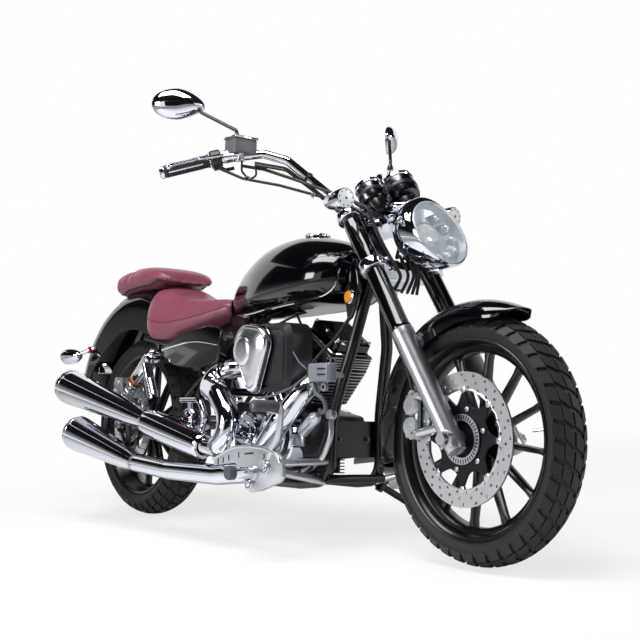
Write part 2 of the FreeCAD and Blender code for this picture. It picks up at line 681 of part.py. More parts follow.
def fenders():
    tyre_reach = S["front_tyre_radius"]
    front = fender_shell(tyre_reach + S["front_fender_room"], S["front_fender_half"], S["fender_wall"],
                         tyre_reach - 62, 68, 194, S["front_fender_crown"])
    nose = Part.makeBox(300, 400, 2 * S["front_fender_half"] + 2,
                        Vector(66, 150, -S["front_fender_half"] - 1))
    curve = Part.Ellipse(Vector(66, 0, S["front_fender_half"] + 1), Vector(118, 0, 0), Vector(66, 0, 0))
    keep_zone = Part.Face(Part.Wire(curve.toShape())).extrude(Vector(0, 600, 0))
    front = front.cut(wheel_opening(40, -5, tyre_reach - 12)).cut(nose.cut(keep_zone))
    feature("front_fender", front, FRONT_WHEEL)
    rear = fender_shell(S["rear_fender_radius"], S["rear_fender_half"], S["fender_wall"], 290, 38, 172,
                        S["rear_fender_crown"])
    opening = wheel_opening(-44 - S["rear_fender_ahead"], -20 - S["rear_fender_lift"],
                            S["rear_tyre_radius"] + 6)
    feature("rear_fender", rear.cut(opening), REAR_ARCH)


fenders()


def front_caliper():
    """Twin-bolt caliper astride the disc behind the right leg, on a bracket from the slider."""
    level = S["front_disc_side"] + S["disc_thickness"] / 2
    body = Part.makeBox(58, 116, 56, Vector(-190, -6, level - 28))
    body = body.makeFillet(9, body.Edges)
    slot = Part.makeCylinder(S["disc_radius"] + 7, S["disc_thickness"] + 14,
                             Vector(0, 0, level - S["disc_thickness"] / 2 - 7))
    arms = [rod((-60, 92, 84), (-150, 92, 84), 10), rod((-26, 38, 84), (-150, 20, 84), 10)]
    feature("front_caliper", joined([body] + arms).cut(slot), FRONT_WHEEL, ("fork_sliders",))


front_caliper()


def hoses():
    """Brake hose from the reservoir to the caliper, and the throttle cable to the steering head."""
    def steered(x, y, z):
        return tuple(STEER.multVec(Vector(x, y, z)))

    hose = tube([(118, -262, 1044), (160, -214, 1034), (226, -158, 1004), (392, -104, 936),
                 steered(114, -92, 682), steered(94, -78, 600), steered(82, -58, 556), steered(76, -42, 484),
                 steered(14, -62, 446), steered(6, -86, 400), steered(4, -88, 250), (652, -80, 404)],
                4.5, (20, 40, 40, 30, 40, 30, 20, 20, 20, 40, 20))
    cable = tube([(96, -318, 1030), (150, -276, 1000), (226, -208, 980), (330, -110, 940), (374, -66, 908),
                  (381, -60, 878)], 4, (40, 40, 40, 12))
    feature("front_brake_hose", hose, against=("lever_perches", "front_caliper"))
    feature("throttle_cable", cable, against=("switch_housings", "steering_clamps"))


hoses()


# ---------------------------------------------------------------- engine
CRANK = Vector(S["crank_x"], 0, S["crank_z"])


def cylinder_frame(side):
    """Frame of one cylinder: local Z up its bore, leaning forward (1) or back (-1)."""
    return Placement(CRANK, Rotation(Vector(0, 1, 0), side * S["cylinder_tilt"]))


def cylinders():
    """Two finned barrels with their heads and rocker covers, leaning apart over the crank."""
    parts = []
    half = S["fin_half"]
    for side in (1, -1):
        stack = [Part.makeCylinder(S["barrel_radius"], 214, Vector(0, 0, 60))]
        for row in range(int(S["fin_rows"])):
            low = 104 + row * S["fin_pitch"]
            fin = Part.makeBox(2 * half, 2 * half, S["fin_thickness"], Vector(-half, -half, low))
            stack.append(fin.makeFillet(24,
                                        [edge for edge in fin.Edges if abs(edge.BoundBox.ZLength - 4) < 0.1]))
        head = Part.makeBox(2 * half - 14, 2 * half - 14, 36, Vector(7 - half, 7 - half, 228))
        cover = Part.makeBox(2 * half - 26, 2 * half - 26, 42, Vector(13 - half, 13 - half, 264))
        cover = cover.makeFillet(16, [edge for edge in cover.Edges if edge.BoundBox.ZMin > 280])
        solid = joined(stack + [head, cover])
        solid.Placement = cylinder_frame(side)
        parts.append(solid)
    feature("cylinders", Part.makeCompound(parts), against=("crankcase",))


def crankcase():
    """Crankcase and gearbox as one closed block, padded both ways from the middle plane."""
    body = doc.addObject("PartDesign::Body", "crankcase")
    outline = sketch_on(body, "crankcase_outline", "XZ_Plane")
    spots = [(130, 232), (290, 240), (306, 262), (262, 352), (150, 372), (60, 372), (-30, 372),
             (-150, 390), (-176, 330),
             (-150, 214), (-110, 190), (100, 196)]
    for start, end in zip(spots, spots[1:] + spots[:1]):
        outline.addGeometry(Part.LineSegment(Vector(*start, 0), Vector(*end, 0)), False)
    for step in range(len(spots)):
        outline.addConstraint(Sketcher.Constraint("Coincident", step, 2, (step + 1) % len(spots), 1))
    outline.addConstraint(Sketcher.Constraint("Block", 0))
    solid = pad(body, outline, 2 * S["case_half"] - 24, "2 * Sizes.case_half - 24")
    body.Tip = solid
    keep(body, "crankcase")


def engine_covers():
    """Round clutch cover on the right, alternator cover on the left."""
    inner = S["case_half"] - 12
    clutch = joined([rod((128, -inner, 282), (128, -128, 282), 84),
                     rod((128, -127, 282), (128, -150, 282), 64),
                     rod((-60, -inner, 300), (-60, -112, 300), 62)])
    alternator = joined([rod((110, inner, 304), (110, 124, 304), 72),
                         rod((110, 123, 304), (110, 142, 304), 54),
                         rod((-80, inner, 290), (-80, 112, 290), 56)])
    feature("engine_covers", Part.makeCompound([clutch, alternator]))


crankcase()
cylinders()
engine_covers()


def front_plate():
    """Cross plate low between the downtubes, with two bolt holes."""
    body = doc.addObject("PartDesign::Body", "front_plate")
    outline = sketch_on(body, "front_plate_outline", "YZ_Plane")
    bound_box(outline, (-S["plate_width"] / 2, "-Sizes.plate_width / 2"),
              (S["plate_width"] / 2, "Sizes.plate_width / 2"),
              (-S["plate_height"] / 2, "-Sizes.plate_height / 2"),
              (S["plate_height"] / 2, "Sizes.plate_height / 2"))
    pad(body, outline, S["plate_thickness"], "Sizes.plate_thickness")
    doc.recompute()
    holes = sketch_on(body, "front_plate_holes", "YZ_Plane")
    for side in (-1, 1):
        spot = side * S["plate_hole_spacing"] / 2
        index = holes.addGeometry(Part.Circle(Vector(spot, 0), Vector(0, 0, 1), S["plate_hole"]), False)
        bind(holes, "Radius", (index, S["plate_hole"]), "Sizes.plate_hole")
        bind(holes, "DistanceX", (-1, 1, index, 3, spot), f"{side} * Sizes.plate_hole_spacing / 2")
        holes.addConstraint(Sketcher.Constraint("PointOnObject", index, 3, -1))
    drilled = body.newObject("PartDesign::Pocket", "front_plate_drilled")
    drilled.Profile = holes
    drilled.Type = "ThroughAll"
    drilled.Midplane = True
    body.Tip = drilled
    keep(body, "front_plate", Placement(Vector(S["plate_x"], 0, S["plate_z"]), Rotation()))


front_plate()


# ---------------------------------------------------------------- frame
def main_frame():
    """Double cradle: head tube, backbone, two downtubes that run on as the cradle, rear uprights."""
    def axis_point(up):
        return STEER_FOOT + STEER_UP * up

    head = Part.makeCylinder(S["head_radius"], S["head_high"] - S["head_low"], axis_point(S["head_low"]),
                             STEER_UP)
    bore = Part.makeCylinder(S["stem_radius"] + S["pin_clearance"], 400, axis_point(S["head_low"] - 100),
                             STEER_UP)
    backbone = tube([(412, 0, 762), (330, 0, 742), (-60, 0, 690), (-200, 0, 620)], S["backbone_tube"],
                    (200, 200))
    cradle = tube([(408, -14, 757), (380, -60, 540), (326, -84, 350), (326, -88, 178), (212, -100, 166),
                   (-150, -100, 166), (-205, -100, 330), (-190, -74, 560), (-170, -8, 640)],
                  S["cradle_tube"], (200, 300, 60, 40, 60, 90, 60))
    ties = [rod((x, -98, z), (x, 98, z), 12) for x, z in ((326, 182), (-140, 178), (-202, 420))]
    mounts = [rod((x, side * 99, z), (x, side * 70, z + rise), 9) for side in (-1, 1)
              for x, z, rise in ((20, 168, 36), (-100, 168, 36))]
    mounts += [rod((-203, side * 98, 362), (-160, side * 70, 362), 9) for side in (-1, 1)]
    ears = [rod((S["plate_x"] + 1, side * 78, z), (326, side * 84, z), 8)
            for side in (-1, 1) for z in (252, 318)]
    rail = Vector(STAND_PIVOT.x, 100, 166)
    lug_centre = STAND_PIVOT + STAND_AXIS * 18
    elbow = rail + STAND_AXIS * 30
    lug = [Part.makeCylinder(16, 10, STAND_PIVOT + STAND_AXIS * 13, STAND_AXIS), rod(rail, elbow, 8),
           rod(elbow, lug_centre, 6.5),
           Part.makeCylinder(S["stand_pin"], 38, STAND_PIVOT - STAND_AXIS * 16, STAND_AXIS),
           Part.makeCylinder(11, 6, STAND_PIVOT - STAND_AXIS * 16, STAND_AXIS)]
    solids = [head, backbone, cradle, mirrored(cradle)] + ties + lug + mounts + ears
    feature("main_frame", joined(solids).cut(bore), against=("crankcase", "front_plate"))


def rear_subframe():
    """Seat rails outside the rear fender, with a tie in front of it and the shock mounts."""
    front_x, (back_x, _, _) = -196, aft(150, 0, 0)
    def along(share):
        return front_x + (back_x - front_x) * share

    rail = tube([(front_x, -92, 520), (along(0.27), -122, 578), (along(0.7), -122, 578), (back_x, -122, 604)],
                S["rail_tube"], (120, 200))
    stud = rod((SHOCK_TOP.x, -118, SHOCK_TOP.z), (SHOCK_TOP.x, -158, SHOCK_TOP.z), S["shock_stud"])
    drop = rod((SHOCK_TOP.x, -121, SHOCK_TOP.z), (SHOCK_TOP.x - 6, -121, 588), 7.5)
    spacers = [rod((x, -104, z), (x, -122, z), 9) for x, z in ((along(0.745), 583), (along(0.97), 602))]
    feature("rear_subframe", pair(joined([rail, stud, drop] + spacers)),
            against=("main_frame", "rear_fender"))


def swingarm():
    """Rear fork with a pivot tube, a cross tube ahead of the tyre and axle plates."""
    rail = tube([(-214, -62, 330), (-300, -112, 327), aft(7, -118, 0)], 19, (60,))
    plate = rod((REAR_AXLE.x, -128, REAR_AXLE.z), (REAR_AXLE.x, -108, REAR_AXLE.z), 32)
    stud = rod((SHOCK_FOOT.x, -112, SHOCK_FOOT.z), (SHOCK_FOOT.x, -158, SHOCK_FOOT.z), S["shock_stud"])
    rise = rod((SHOCK_FOOT.x, -116, SHOCK_FOOT.z), (SHOCK_FOOT.x, -116, 330), 10)
    bobbin = rod(aft(47, -118, -15), aft(47, -139, -15), 9)
    arm = joined([rail, plate, stud, rise, bobbin])
    threaded = rod(aft(47, -140, -15), aft(47, -119, -15), 4)
    pivot = rod((-214, -83.6, 330), (-214, 83.6, 330), 24)
    cross = rod((-420, -117, 323), (-420, 117, 323), 20)
    solid = joined([arm, mirrored(arm), cross]).cut(Part.makeCompound([threaded, mirrored(threaded)]))
    hole = rod((REAR_AXLE.x, -200, REAR_AXLE.z), (REAR_AXLE.x, 200, REAR_AXLE.z), S["axle_radius"] + 0.05)
    feature("swingarm", solid.cut(hole))


def shock_absorbers():
    """Spring units from the seat rails to the swingarm, each with a remote damper canister."""
    run = SHOCK_FOOT - SHOCK_TOP
    def at(share):
        return tuple(SHOCK_TOP + run * share)

    unit = joined([rod(at(0.08), at(0.48), 27), rod(at(0.46), at(0.9), 20), rod(at(0), at(1), 9),
                   rod((SHOCK_TOP.x, -152, SHOCK_TOP.z), (SHOCK_TOP.x, -130, SHOCK_TOP.z), 14),
                   rod((SHOCK_FOOT.x, -152, SHOCK_FOOT.z), (SHOCK_FOOT.x, -127, SHOCK_FOOT.z), 14),
                   rod(aft(235, -165, 197), aft(259, -165, 147), 17),
                   rod(aft(257, -165, 151), aft(293, -165, 85), 20),
                   rod(aft(241, -163, 185), aft(209, -142, 223), 8)])
    studs = [rod((spot.x, -200, spot.z), (spot.x, -100, spot.z), S["shock_stud"] + S["pin_clearance"])
             for spot in (SHOCK_TOP, SHOCK_FOOT)]
    unit = unit.cut(Part.makeCompound(studs))
    feature("shock_absorbers", pair(unit))


def pivot_guard():
    """Bright bar and boss over the swingarm pivot on the right."""
    bar = tube([(-330, -168, 392), (-215, -172, 392), (-180, -174, 340), (-196, -174, 300)], 10, (40, 40))
    boss = rod((-290, -100, 330), (-290, -176, 330), 30)
    link = rod((-280, -162, 340), (-280, -170, 388), 8)
    feature("pivot_guard", joined([bar, boss, link]), against=("swingarm",))


main_frame()
rear_subframe()
swingarm()
shock_absorbers()
pivot_guard()


def air_box():
    """Box beside the cylinders that carries the air cleaner."""
    body = block((76, -186, 415), (262, -96, 606))
    upright = [edge for edge in body.Edges if edge.BoundBox.YLength > 80]
    arm = rod((229, -100, 542), (229, -74, 542), 8)
    feature("air_box", joined([body.makeFillet(38, upright), arm]), against=("cylinders",))


def air_cleaner():
    """Bright teardrop cover, broad above and narrow below."""
    discs = [Part.makeCylinder(radius, 40, Vector(x, -187, z), Vector(0, -1, 0)) for x, z, radius in
             ((88, 548, 54), (138, 544, 52), (122, 440, 28))]
    edges = [Part.makePolygon([Vector(x, -187, z) for x, z in
                               ((42, 522), (98, 426), (146, 428), (186, 526), (140, 594), (84, 600),
                                (42, 522))])]
    core = Part.Face(edges[0]).extrude(Vector(0, -40, 0))
    feature("air_cleaner", joined(discs + [core]))


air_box()
air_cleaner()


def exhaust():
    """Two headers swept down and back on the right into two stacked, flaring mufflers."""
    bore = S["pipe_radius"]
    front = tube([(314, -88, 478), (302, -156, 418), (244, -194, 336), (130, -216, 192), (-20, -222, 178),
                  (-300, -220, 178), (-527, -218, 192)], bore, (40, 90, 100, 80, 200))
    port = rod((270.5, -44, 514.6), (314, -88, 478), 14)
    rear = tube([(-78, -64, 500), (-118, -130, 486), (-226, -156, 446), (-66, -196, 404), (26, -210, 330),
                 (-20, -224, 250), (-200, -222, 266), (-471, -218, 327)], bore, (40, 34, 60, 60, 50, 70, 200))
    feature("front_exhaust_pipe", joined([front, port]), against=("cylinders",))
    guard = taper((-110, -224, 258), (-430, -218, 316), 34, 42)
    feature("rear_exhaust_pipe", joined([rear, guard]), against=("cylinders",))
    for label, low, high, pipe in (("lower_muffler", (-527, -218, 192), (-962, -218, 277),
                                    "front_exhaust_pipe"),
                                   ("upper_muffler", (-471, -218, 327), (-1042, -218, 441),
                                    "rear_exhaust_pipe")):
        start, end = Vector(*low), Vector(*high)
        axis = (end - start).normalize()
        length = (end - start).Length
        outline = [(12, 0), (26, 0), (36, 0.14 * length), (61, 0.93 * length), (59, length), (48, length),
                   (48, length - 60), (12, length - 60)]
        can = turned(outline, (0, 0, 0), (0, 0, 1))
        can.Placement = Placement(start, Rotation(Vector(0, 0, 1), axis))
        feature(label, can, against=(pipe,))


exhaust()


# ---------------------------------------------------------------- body work
# Stations: forward, half width, top, level of the greatest width, bottom.
TANK = [(352, 62, 780, 738, 694), (322, 110, 814, 736, 676), (258, 136, 842, 728, 660),
        (132, 146, 870, 720, 650), (-10, 128, 862, 712, 646), (-130, 92, 828, 702, 644),
        (-220, 56, 776, 696, 648), (-276, 30, 738, 692, 660)]
# The saddle's back rises over the fender; the pillion pad is placed from the rear axle and the fender's top.
RIDER_SEAT = [(-232, 70, 706, 684, 640), (-300, 92, 708, 660, 628), (-420, 132, 718, 626, 594),
              (-540, 158, FENDER_TOP - 37, 618, 566), (-622, 150, FENDER_TOP + 1, 640, 574),
              (-664, 116, FENDER_TOP - 5, 690, 622)]
PILLION = [(REAR_AXLE.x + ahead, half, FENDER_TOP + top, FENDER_TOP + level, FENDER_TOP + bottom)
           for ahead, half, top, level, bottom in
           ((207, 88, 22, 12, 4), (177, 122, 50, 20, -8), (87, 134, 66, 20, -16), (-23, 126, 66, 18, -20),
            (-88, 118, 64, 14, -24), (-118, 108, 58, 8, -28))]


def fuel_tank():
    tank = body_loft(TANK)
    tunnel_round = tube([(450, 0, 770), (330, 0, 742), (-60, 0, 690), (-320, 0, 560)],
                        S["backbone_tube"] + 0.3,
                        (200, 200))
    tunnel = block((-340, -28, 560), (420, 28, 690))
    feature("fuel_tank", tank.cut(tunnel_round).cut(tunnel))


def grown(stations, gap):
    """The same stations with every side moved out by a gap."""
    return [(x, half_width + gap, top + gap, level, bottom - gap)
            for x, half_width, top, level, bottom in stations]


def fender_core(gap):
    """Everything inside the rear fender's outer face, grown by a gap, in the upright frame."""
    radius, half, crown = S["rear_fender_radius"] + gap, S["rear_fender_half"] + gap, S["rear_fender_crown"]
    knee, far = Vector(radius - crown, 0, -half), Vector(radius - crown, 0, half)
    edges = [Part.Arc(knee, Vector(radius, 0, 0), far).toShape(),
             Part.LineSegment(far, Vector(0, 0, half)).toShape(),
             Part.LineSegment(Vector(0, 0, half), Vector(0, 0, -half)).toShape(),
             Part.LineSegment(Vector(0, 0, -half), knee).toShape()]
    core = Part.Face(Part.Wire(edges)).revolve(Vector(), Vector(0, 0, 1), 360)
    core.Placement = REAR_ARCH
    return core


def seats():
    """Saddle that straddles the rails and the fender, and the pillion pad on its base."""
    gap = S["soft_gap"]
    rails = block((-700, -S["rail_room"], 480), (-330, S["rail_room"], 618))
    saddle = body_loft(RIDER_SEAT).cut(rails).cut(fender_core(gap)).cut(body_loft(grown(TANK, gap)))
    feature("rider_seat", max(saddle.Solids, key=lambda solid: solid.Volume))
    base_top = S["base_thickness"]
    pad = body_loft(PILLION).cut(fender_core(base_top + 0.3)).cut(body_loft(grown(RIDER_SEAT, 3 * gap)))
    feature("pillion_seat", max(pad.Solids, key=lambda solid: solid.Volume))
    low, high = aft(-128, -86, 0), aft(112, 86, 0)
    base = block((low[0], low[1], FENDER_TOP - 90), (high[0], high[1], FENDER_TOP + base_top))
    feature("seat_base", base.common(fender_core(base_top)).cut(fender_core(0.2)))


def side_covers():
    """Flat covers on both sides: a long one under the seat and a small one beside the head tube."""
    below_seat = [(-176, 502), (-150, 604), (-240, 622), (-520, 560), (-470, 508), (-330, 492)]
    at_neck = [(384, 776), (356, 700), (362, 606), (392, 640), (412, 706)]
    peg = rod((400, -60, 690), (404, -36, 690), 6)
    covers = []
    for outline, away, thickness in ((below_seat, 141.4, 8), (at_neck, 70, 12)):
        face = Part.Face(Part.makePolygon([Vector(x, -away, z) for x, z in outline + outline[:1]]))
        cover = face.extrude(Vector(0, thickness, 0))
        if outline is at_neck:
            cover = joined([cover, peg])
        covers += [cover, mirrored(cover)]
    feature("side_covers", Part.makeCompound(covers), against=("main_frame",))


fuel_tank()
seats()
side_covers()


# ---------------------------------------------------------------- front plate and small pieces
def coil_box():
    body = block((352, -194, 432), (458, -162, 491))
    arm = rod((400, -166, 460), (357, -70, 460), 8)
    feature("coil_box", joined([body.makeFillet(8, body.Edges), arm]), against=("main_frame",))


def foot_controls():
    """Cast peg bracket, peg and pedal at each side."""
    outline = [(340, 196), (322, 246), (250, 262), (120, 262), (10, 226), (10, 206), (120, 226), (170, 176),
               (212, 142), (262, 150), (340, 196)]
    bracket = Part.Face(Part.makePolygon([Vector(x, -259, z) for x, z in outline])).extrude(Vector(0, 12, 0))
    stand_off = [rod((306, -90, 174), (306, -252, 204), 10), rod((326, -88, 230), (318, -252, 226), 10)]
    peg = rod((216, -252, 196), (216, -345, 196), 16)
    pedal = tube([(268, -252, 236), (322, -253, 300), (334, -258, 372), (326, -345, 374)], 8, (60, 20))
    feature("foot_controls", pair(joined([bracket, peg, pedal] + stand_off)), against=("main_frame",))


def rear_lights():
    level = REAR_AXLE.z + 189
    lamp = block((FENDER_BACK - 18, -30, level), (FENDER_BACK + 64, 30, level + 40))
    feature("tail_lamp", lamp.makeFillet(8, lamp.Edges).cut(fender_core(0.2)))
    knee = S["rear_fender_radius"] - S["rear_fender_crown"] - 4
    angle = math.radians(140)
    x, y, z = (FENDER_CENTRE.x + knee * math.cos(angle), 1.5 - S["rear_fender_half"],
               FENDER_CENTRE.z + knee * math.sin(angle))
    lift = REAR_AXLE.z + 245 - z
    stalk = rod((x, y, z), (x - 78, y - 44.5, z + lift - 2), 8)
    bullet_lamp = bullet((x - 134, y - 46.5, z + lift), (-1, -0.1, 0), 30, 98)
    feature("rear_turn_signals", pair(joined([bullet_lamp, stalk])), against=("rear_fender",))


def plate_bracket():
    level = REAR_AXLE.z + 119
    back = FENDER_BACK - 18
    plate = block((back, -70, level - 50), (back + 6, 70, level + 40))
    neck = block((back + 4, -20, level), (back + 80, 20, level + 69.8))
    holes = [rod((back - 18, side * 50, level), (back + 22, side * 50, level), 3.5) for side in (-1, 1)]
    feature("plate_bracket", joined([plate, neck]).cut(Part.makeCompound(holes)).cut(fender_core(0.2)))


def rear_caliper():
    level = S["rear_disc_side"] + S["disc_thickness"] / 2
    body = Part.makeBox(50, 90, 44, Vector(-118, 76, level - 26))
    body = body.makeFillet(8, body.Edges)
    slot = Part.makeCylinder(S["rear_disc_radius"] + 6, S["disc_thickness"] + 10,
                             Vector(0, 0, level - S["disc_thickness"] / 2 - 5))
    corners = [(-20, -16), (22, -10), (18, 16), (-60, 128), (-112, 128), (-112, 86), (-20, -16)]
    plate = Part.Face(Part.makePolygon([Vector(x, y, 98) for x, y in corners])).extrude(Vector(0, 0, 9.6))
    spindle = Part.makeCylinder(S["axle_radius"] + S["pin_clearance"], 200, Vector(0, 0, 0))
    feature("rear_caliper", joined([body.cut(slot), plate]).cut(spindle), REAR_WHEEL, ("swingarm",))


def final_drive():
    """Bevel drive case on the left of the rear hub, around the axle."""
    case = rod((REAR_AXLE.x, 80, REAR_AXLE.z), (REAR_AXLE.x, 106, REAR_AXLE.z), 72)
    hole = rod((REAR_AXLE.x, 60, REAR_AXLE.z), (REAR_AXLE.x, 160, REAR_AXLE.z), S["axle_radius"] + 0.05)
    feature("final_drive", case.cut(hole), against=("swingarm",))


coil_box()
foot_controls()
rear_lights()
plate_bracket()
rear_caliper()
final_drive()


# ---------------------------------------------------------------- side stand
def side_stand():
    """Leg from the left cradle rail out to the ground, with a flat foot that meets it."""
    shank = rod(tuple(STAND_PIVOT), tuple(STAND_FOOT + GROUND_UP * 12), S["stand_radius"])
    shoe = Part.makeCylinder(S["stand_foot"], 9, STAND_FOOT, GROUND_UP)
    eye = Part.makeCylinder(16, 18, STAND_PIVOT - STAND_AXIS * 9, STAND_AXIS)
    bore = Part.makeCylinder(S["stand_pin"] + S["pin_clearance"], 80, STAND_PIVOT - STAND_AXIS * 40,
                             STAND_AXIS)
    feature("side_stand", joined([shank, shoe, eye]).cut(bore))


side_stand()

# ---------------------------------------------------------------- lean, origin and export
doc.recompute()
leaned = Placement(Vector(), Rotation(Vector(1, 0, 0), -S["lean"]))
for obj, local in NODES:
    obj.Placement = leaned * local
doc.recompute()
whole = FreeCAD.BoundBox()
for obj, _ in NODES:
    whole.add(obj.Shape.optimalBoundingBox(False))
shift = Vector(-whole.Center.x, -whole.Center.y, -whole.ZMin)
stance = Placement(shift, Rotation(Vector(1, 0, 0), -S["lean"]))
for obj, local in NODES:
    obj.Placement = stance * local
doc.recompute()

for obj in doc.Objects:
    if any(flag in obj.State for flag in ("Invalid", "Error")):
        raise RuntimeError(f"{obj.Name} failed: {obj.State}")
os.makedirs("parts", exist_ok=True)
for obj, _ in NODES:
    if obj.Shape.isNull() or not obj.Shape.isValid():
        raise RuntimeError(f"{obj.Label} has no valid shape")
    obj.Shape.exportStep(f"parts/{obj.Label}.step")


def in_row(point):
    """A point of the upright frame, in metres, in the finished part's frame."""
    moved = stance.multVec(point)
    return [round(moved.x / 1000, 6), round(moved.y / 1000, 6), round(moved.z / 1000, 6)]


def direction(vector):
    moved = stance.Rotation.multVec(vector)
    return [round(moved.x, 6), round(moved.y, 6), round(moved.z, 6)]


places = {
    "size": [whole.XLength, whole.YLength, whole.ZLength],
    "front_axle": in_row(FRONT_AXLE), "rear_axle": in_row(REAR_AXLE), "across": direction(Vector(0, 1, 0)),
    "steering": in_row(STEER_FOOT + STEER_UP * 620), "steering_up": direction(STEER_UP),
    "stand_pivot": in_row(STAND_PIVOT), "stand_axis": direction(STAND_AXIS),
    "shift": [shift.x, shift.y, shift.z],
}
print(json.dumps(places))
print(len(NODES), "sub-parts")
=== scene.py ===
import json
import math

import bmesh
import bpy
from mathutils import Matrix, Vector
from mathutils.bvhtree import BVHTree


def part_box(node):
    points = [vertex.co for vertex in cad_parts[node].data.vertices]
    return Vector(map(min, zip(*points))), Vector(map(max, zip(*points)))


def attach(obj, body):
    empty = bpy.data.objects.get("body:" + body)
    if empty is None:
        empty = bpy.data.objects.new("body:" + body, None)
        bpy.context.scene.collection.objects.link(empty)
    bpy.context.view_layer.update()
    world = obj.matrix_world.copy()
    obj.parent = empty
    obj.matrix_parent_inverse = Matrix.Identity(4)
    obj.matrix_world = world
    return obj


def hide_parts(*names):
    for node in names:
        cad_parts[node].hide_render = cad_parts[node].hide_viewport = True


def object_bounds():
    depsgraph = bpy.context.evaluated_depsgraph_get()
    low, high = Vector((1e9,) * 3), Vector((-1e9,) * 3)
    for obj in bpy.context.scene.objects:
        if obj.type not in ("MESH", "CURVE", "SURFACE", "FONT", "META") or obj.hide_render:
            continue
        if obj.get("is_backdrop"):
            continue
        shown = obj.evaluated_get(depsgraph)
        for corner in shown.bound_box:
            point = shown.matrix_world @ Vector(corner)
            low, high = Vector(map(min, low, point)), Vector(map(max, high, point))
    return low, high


# %% [markdown]
# # Cruiser motorcycle
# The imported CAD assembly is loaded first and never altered.  The visual pieces are then built over
# it with bmesh, given procedural materials, and lit in a plain studio.

# %% Load the assembly
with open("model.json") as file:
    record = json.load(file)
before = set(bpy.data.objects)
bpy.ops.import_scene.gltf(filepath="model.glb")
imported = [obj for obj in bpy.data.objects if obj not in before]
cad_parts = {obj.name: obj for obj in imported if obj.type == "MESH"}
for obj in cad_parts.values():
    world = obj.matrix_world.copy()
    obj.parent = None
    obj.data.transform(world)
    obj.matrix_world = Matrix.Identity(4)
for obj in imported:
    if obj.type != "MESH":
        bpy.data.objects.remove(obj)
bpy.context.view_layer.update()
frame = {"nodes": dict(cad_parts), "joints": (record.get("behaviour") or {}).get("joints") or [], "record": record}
NODES = frame["nodes"]
JOINTS = {joint["name"]: joint for joint in frame["joints"]}
print(f"{len(NODES)} CAD pieces and {len(JOINTS)} joints")

# %% [markdown]
# ## Design frame
# Pieces are drawn in millimetres in the upright machine's frame: X forward, Y to the rider's left,
# Z up, origin on the ground half way between the axles.  `BIKE` leans them into the row's frame.

# %% Design frame
FRONT_AXLE = Vector(JOINTS["front_wheel_spin"]["pos_m"])
REAR_AXLE = Vector(JOINTS["rear_wheel_spin"]["pos_m"])
AHEAD = Vector((1, 0, 0))
ACROSS = Vector(JOINTS["front_wheel_spin"]["axis"]).normalized()
UP = AHEAD.cross(ACROSS)
low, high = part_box("front_tyre")
FRONT_RADIUS = (high.x - low.x) / 2
low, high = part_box("rear_tyre")
REAR_RADIUS = (high.x - low.x) / 2
HALF_BASE = (FRONT_AXLE.x - REAR_AXLE.x) / 2
ORIGIN = FRONT_AXLE - AHEAD * HALF_BASE - UP * FRONT_RADIUS
MM = 0.001
BIKE = Matrix.Translation(ORIGIN) @ Matrix((AHEAD, ACROSS, UP)).transposed().to_4x4() @ Matrix.Scale(MM, 4)
FRONT = Vector((HALF_BASE / MM, 0, FRONT_RADIUS / MM))
REAR = Vector((-HALF_BASE / MM, 0, REAR_RADIUS / MM))
RAKE = math.radians(34.8)
FORK_LEAD = 50
STEER_UP = Vector((-math.sin(RAKE), 0, math.cos(RAKE)))
STEER_AHEAD = Vector((math.cos(RAKE), 0, math.sin(RAKE)))
STEER = (Matrix.Translation(FRONT - STEER_AHEAD * FORK_LEAD)
         @ Matrix((STEER_AHEAD, Vector((0, 1, 0)), STEER_UP)).transposed().to_4x4())


def steered(x, y, z):
    """Point given along the fork: ahead of the steering axis, to the left, up from the axle's level."""
    return STEER @ Vector((x, y, z))


print(f"wheelbase {2 * HALF_BASE:.3f} m, tyre radii {FRONT_RADIUS:.3f} and {REAR_RADIUS:.3f} m")

# %% [markdown]
# ## Materials
# Each finish starts from what it is on the machine: plate, casting, paint, rubber, plastic, vinyl or
# glass.  One principled shader holds its colour, metal and gloss, and a fine bump gives it grain.

# %% Shader helpers
def srgb(code):
    """Linear colour from an sRGB hex code."""
    parts = [int(code[i:i + 2], 16) / 255 for i in (1, 3, 5)]
    return tuple(p / 12.92 if p <= 0.04045 else ((p + 0.055) / 1.055) ** 2.4 for p in parts) + (1,)


def add_node(tree, kind, settings=None, inputs=None):
    """Shader node with its settings, and its inputs set to values or linked to sockets."""
    node = tree.nodes.new(kind)
    for name, value in (settings or {}).items():
        setattr(node, name, value)
    for name, value in (inputs or {}).items():
        if isinstance(value, bpy.types.NodeSocket):
            tree.links.new(value, node.inputs[name])
        else:
            node.inputs[name].default_value = value
    return node


def material(name, colour, **inputs):
    """Principled material with constants on the shader's own sockets."""
    made = bpy.data.materials.new(name)
    made.use_nodes = True
    shader = made.node_tree.nodes["Principled BSDF"]
    shader.inputs["Base Color"].default_value = srgb(colour)
    for key, value in inputs.items():
        shader.inputs[key.replace("_", " ").title().replace("Ior", "IOR")].default_value = value
    made.diffuse_color = srgb(colour)
    return made


def textured(made, grain, strength, depth):
    """Fine bump over a material: noise in object coordinates, its grain and depth in millimetres."""
    tree = made.node_tree
    place = add_node(tree, "ShaderNodeTexCoord")
    noise = add_node(tree, "ShaderNodeTexNoise", None,
                     {"Vector": place.outputs["Object"], "Scale": 1 / (grain * MM), "Detail": 4.0})
    bump = add_node(tree, "ShaderNodeBump", None,
                    {"Height": noise.outputs["Fac"], "Strength": strength, "Distance": depth * MM})
    tree.links.new(bump.outputs["Normal"], tree.nodes["Principled BSDF"].inputs["Normal"])
    return made

# %% Finishes
# Decorative chrome over polished steel: a near mirror, a little blue.  Buffed softer, it spreads a glint.
CHROME = material("chrome plate", "#dcdee8", metallic=1.0, roughness=0.05)
SOFT_CHROME = material("soft chrome plate", "#e2e4ea", metallic=1.0, roughness=0.24)
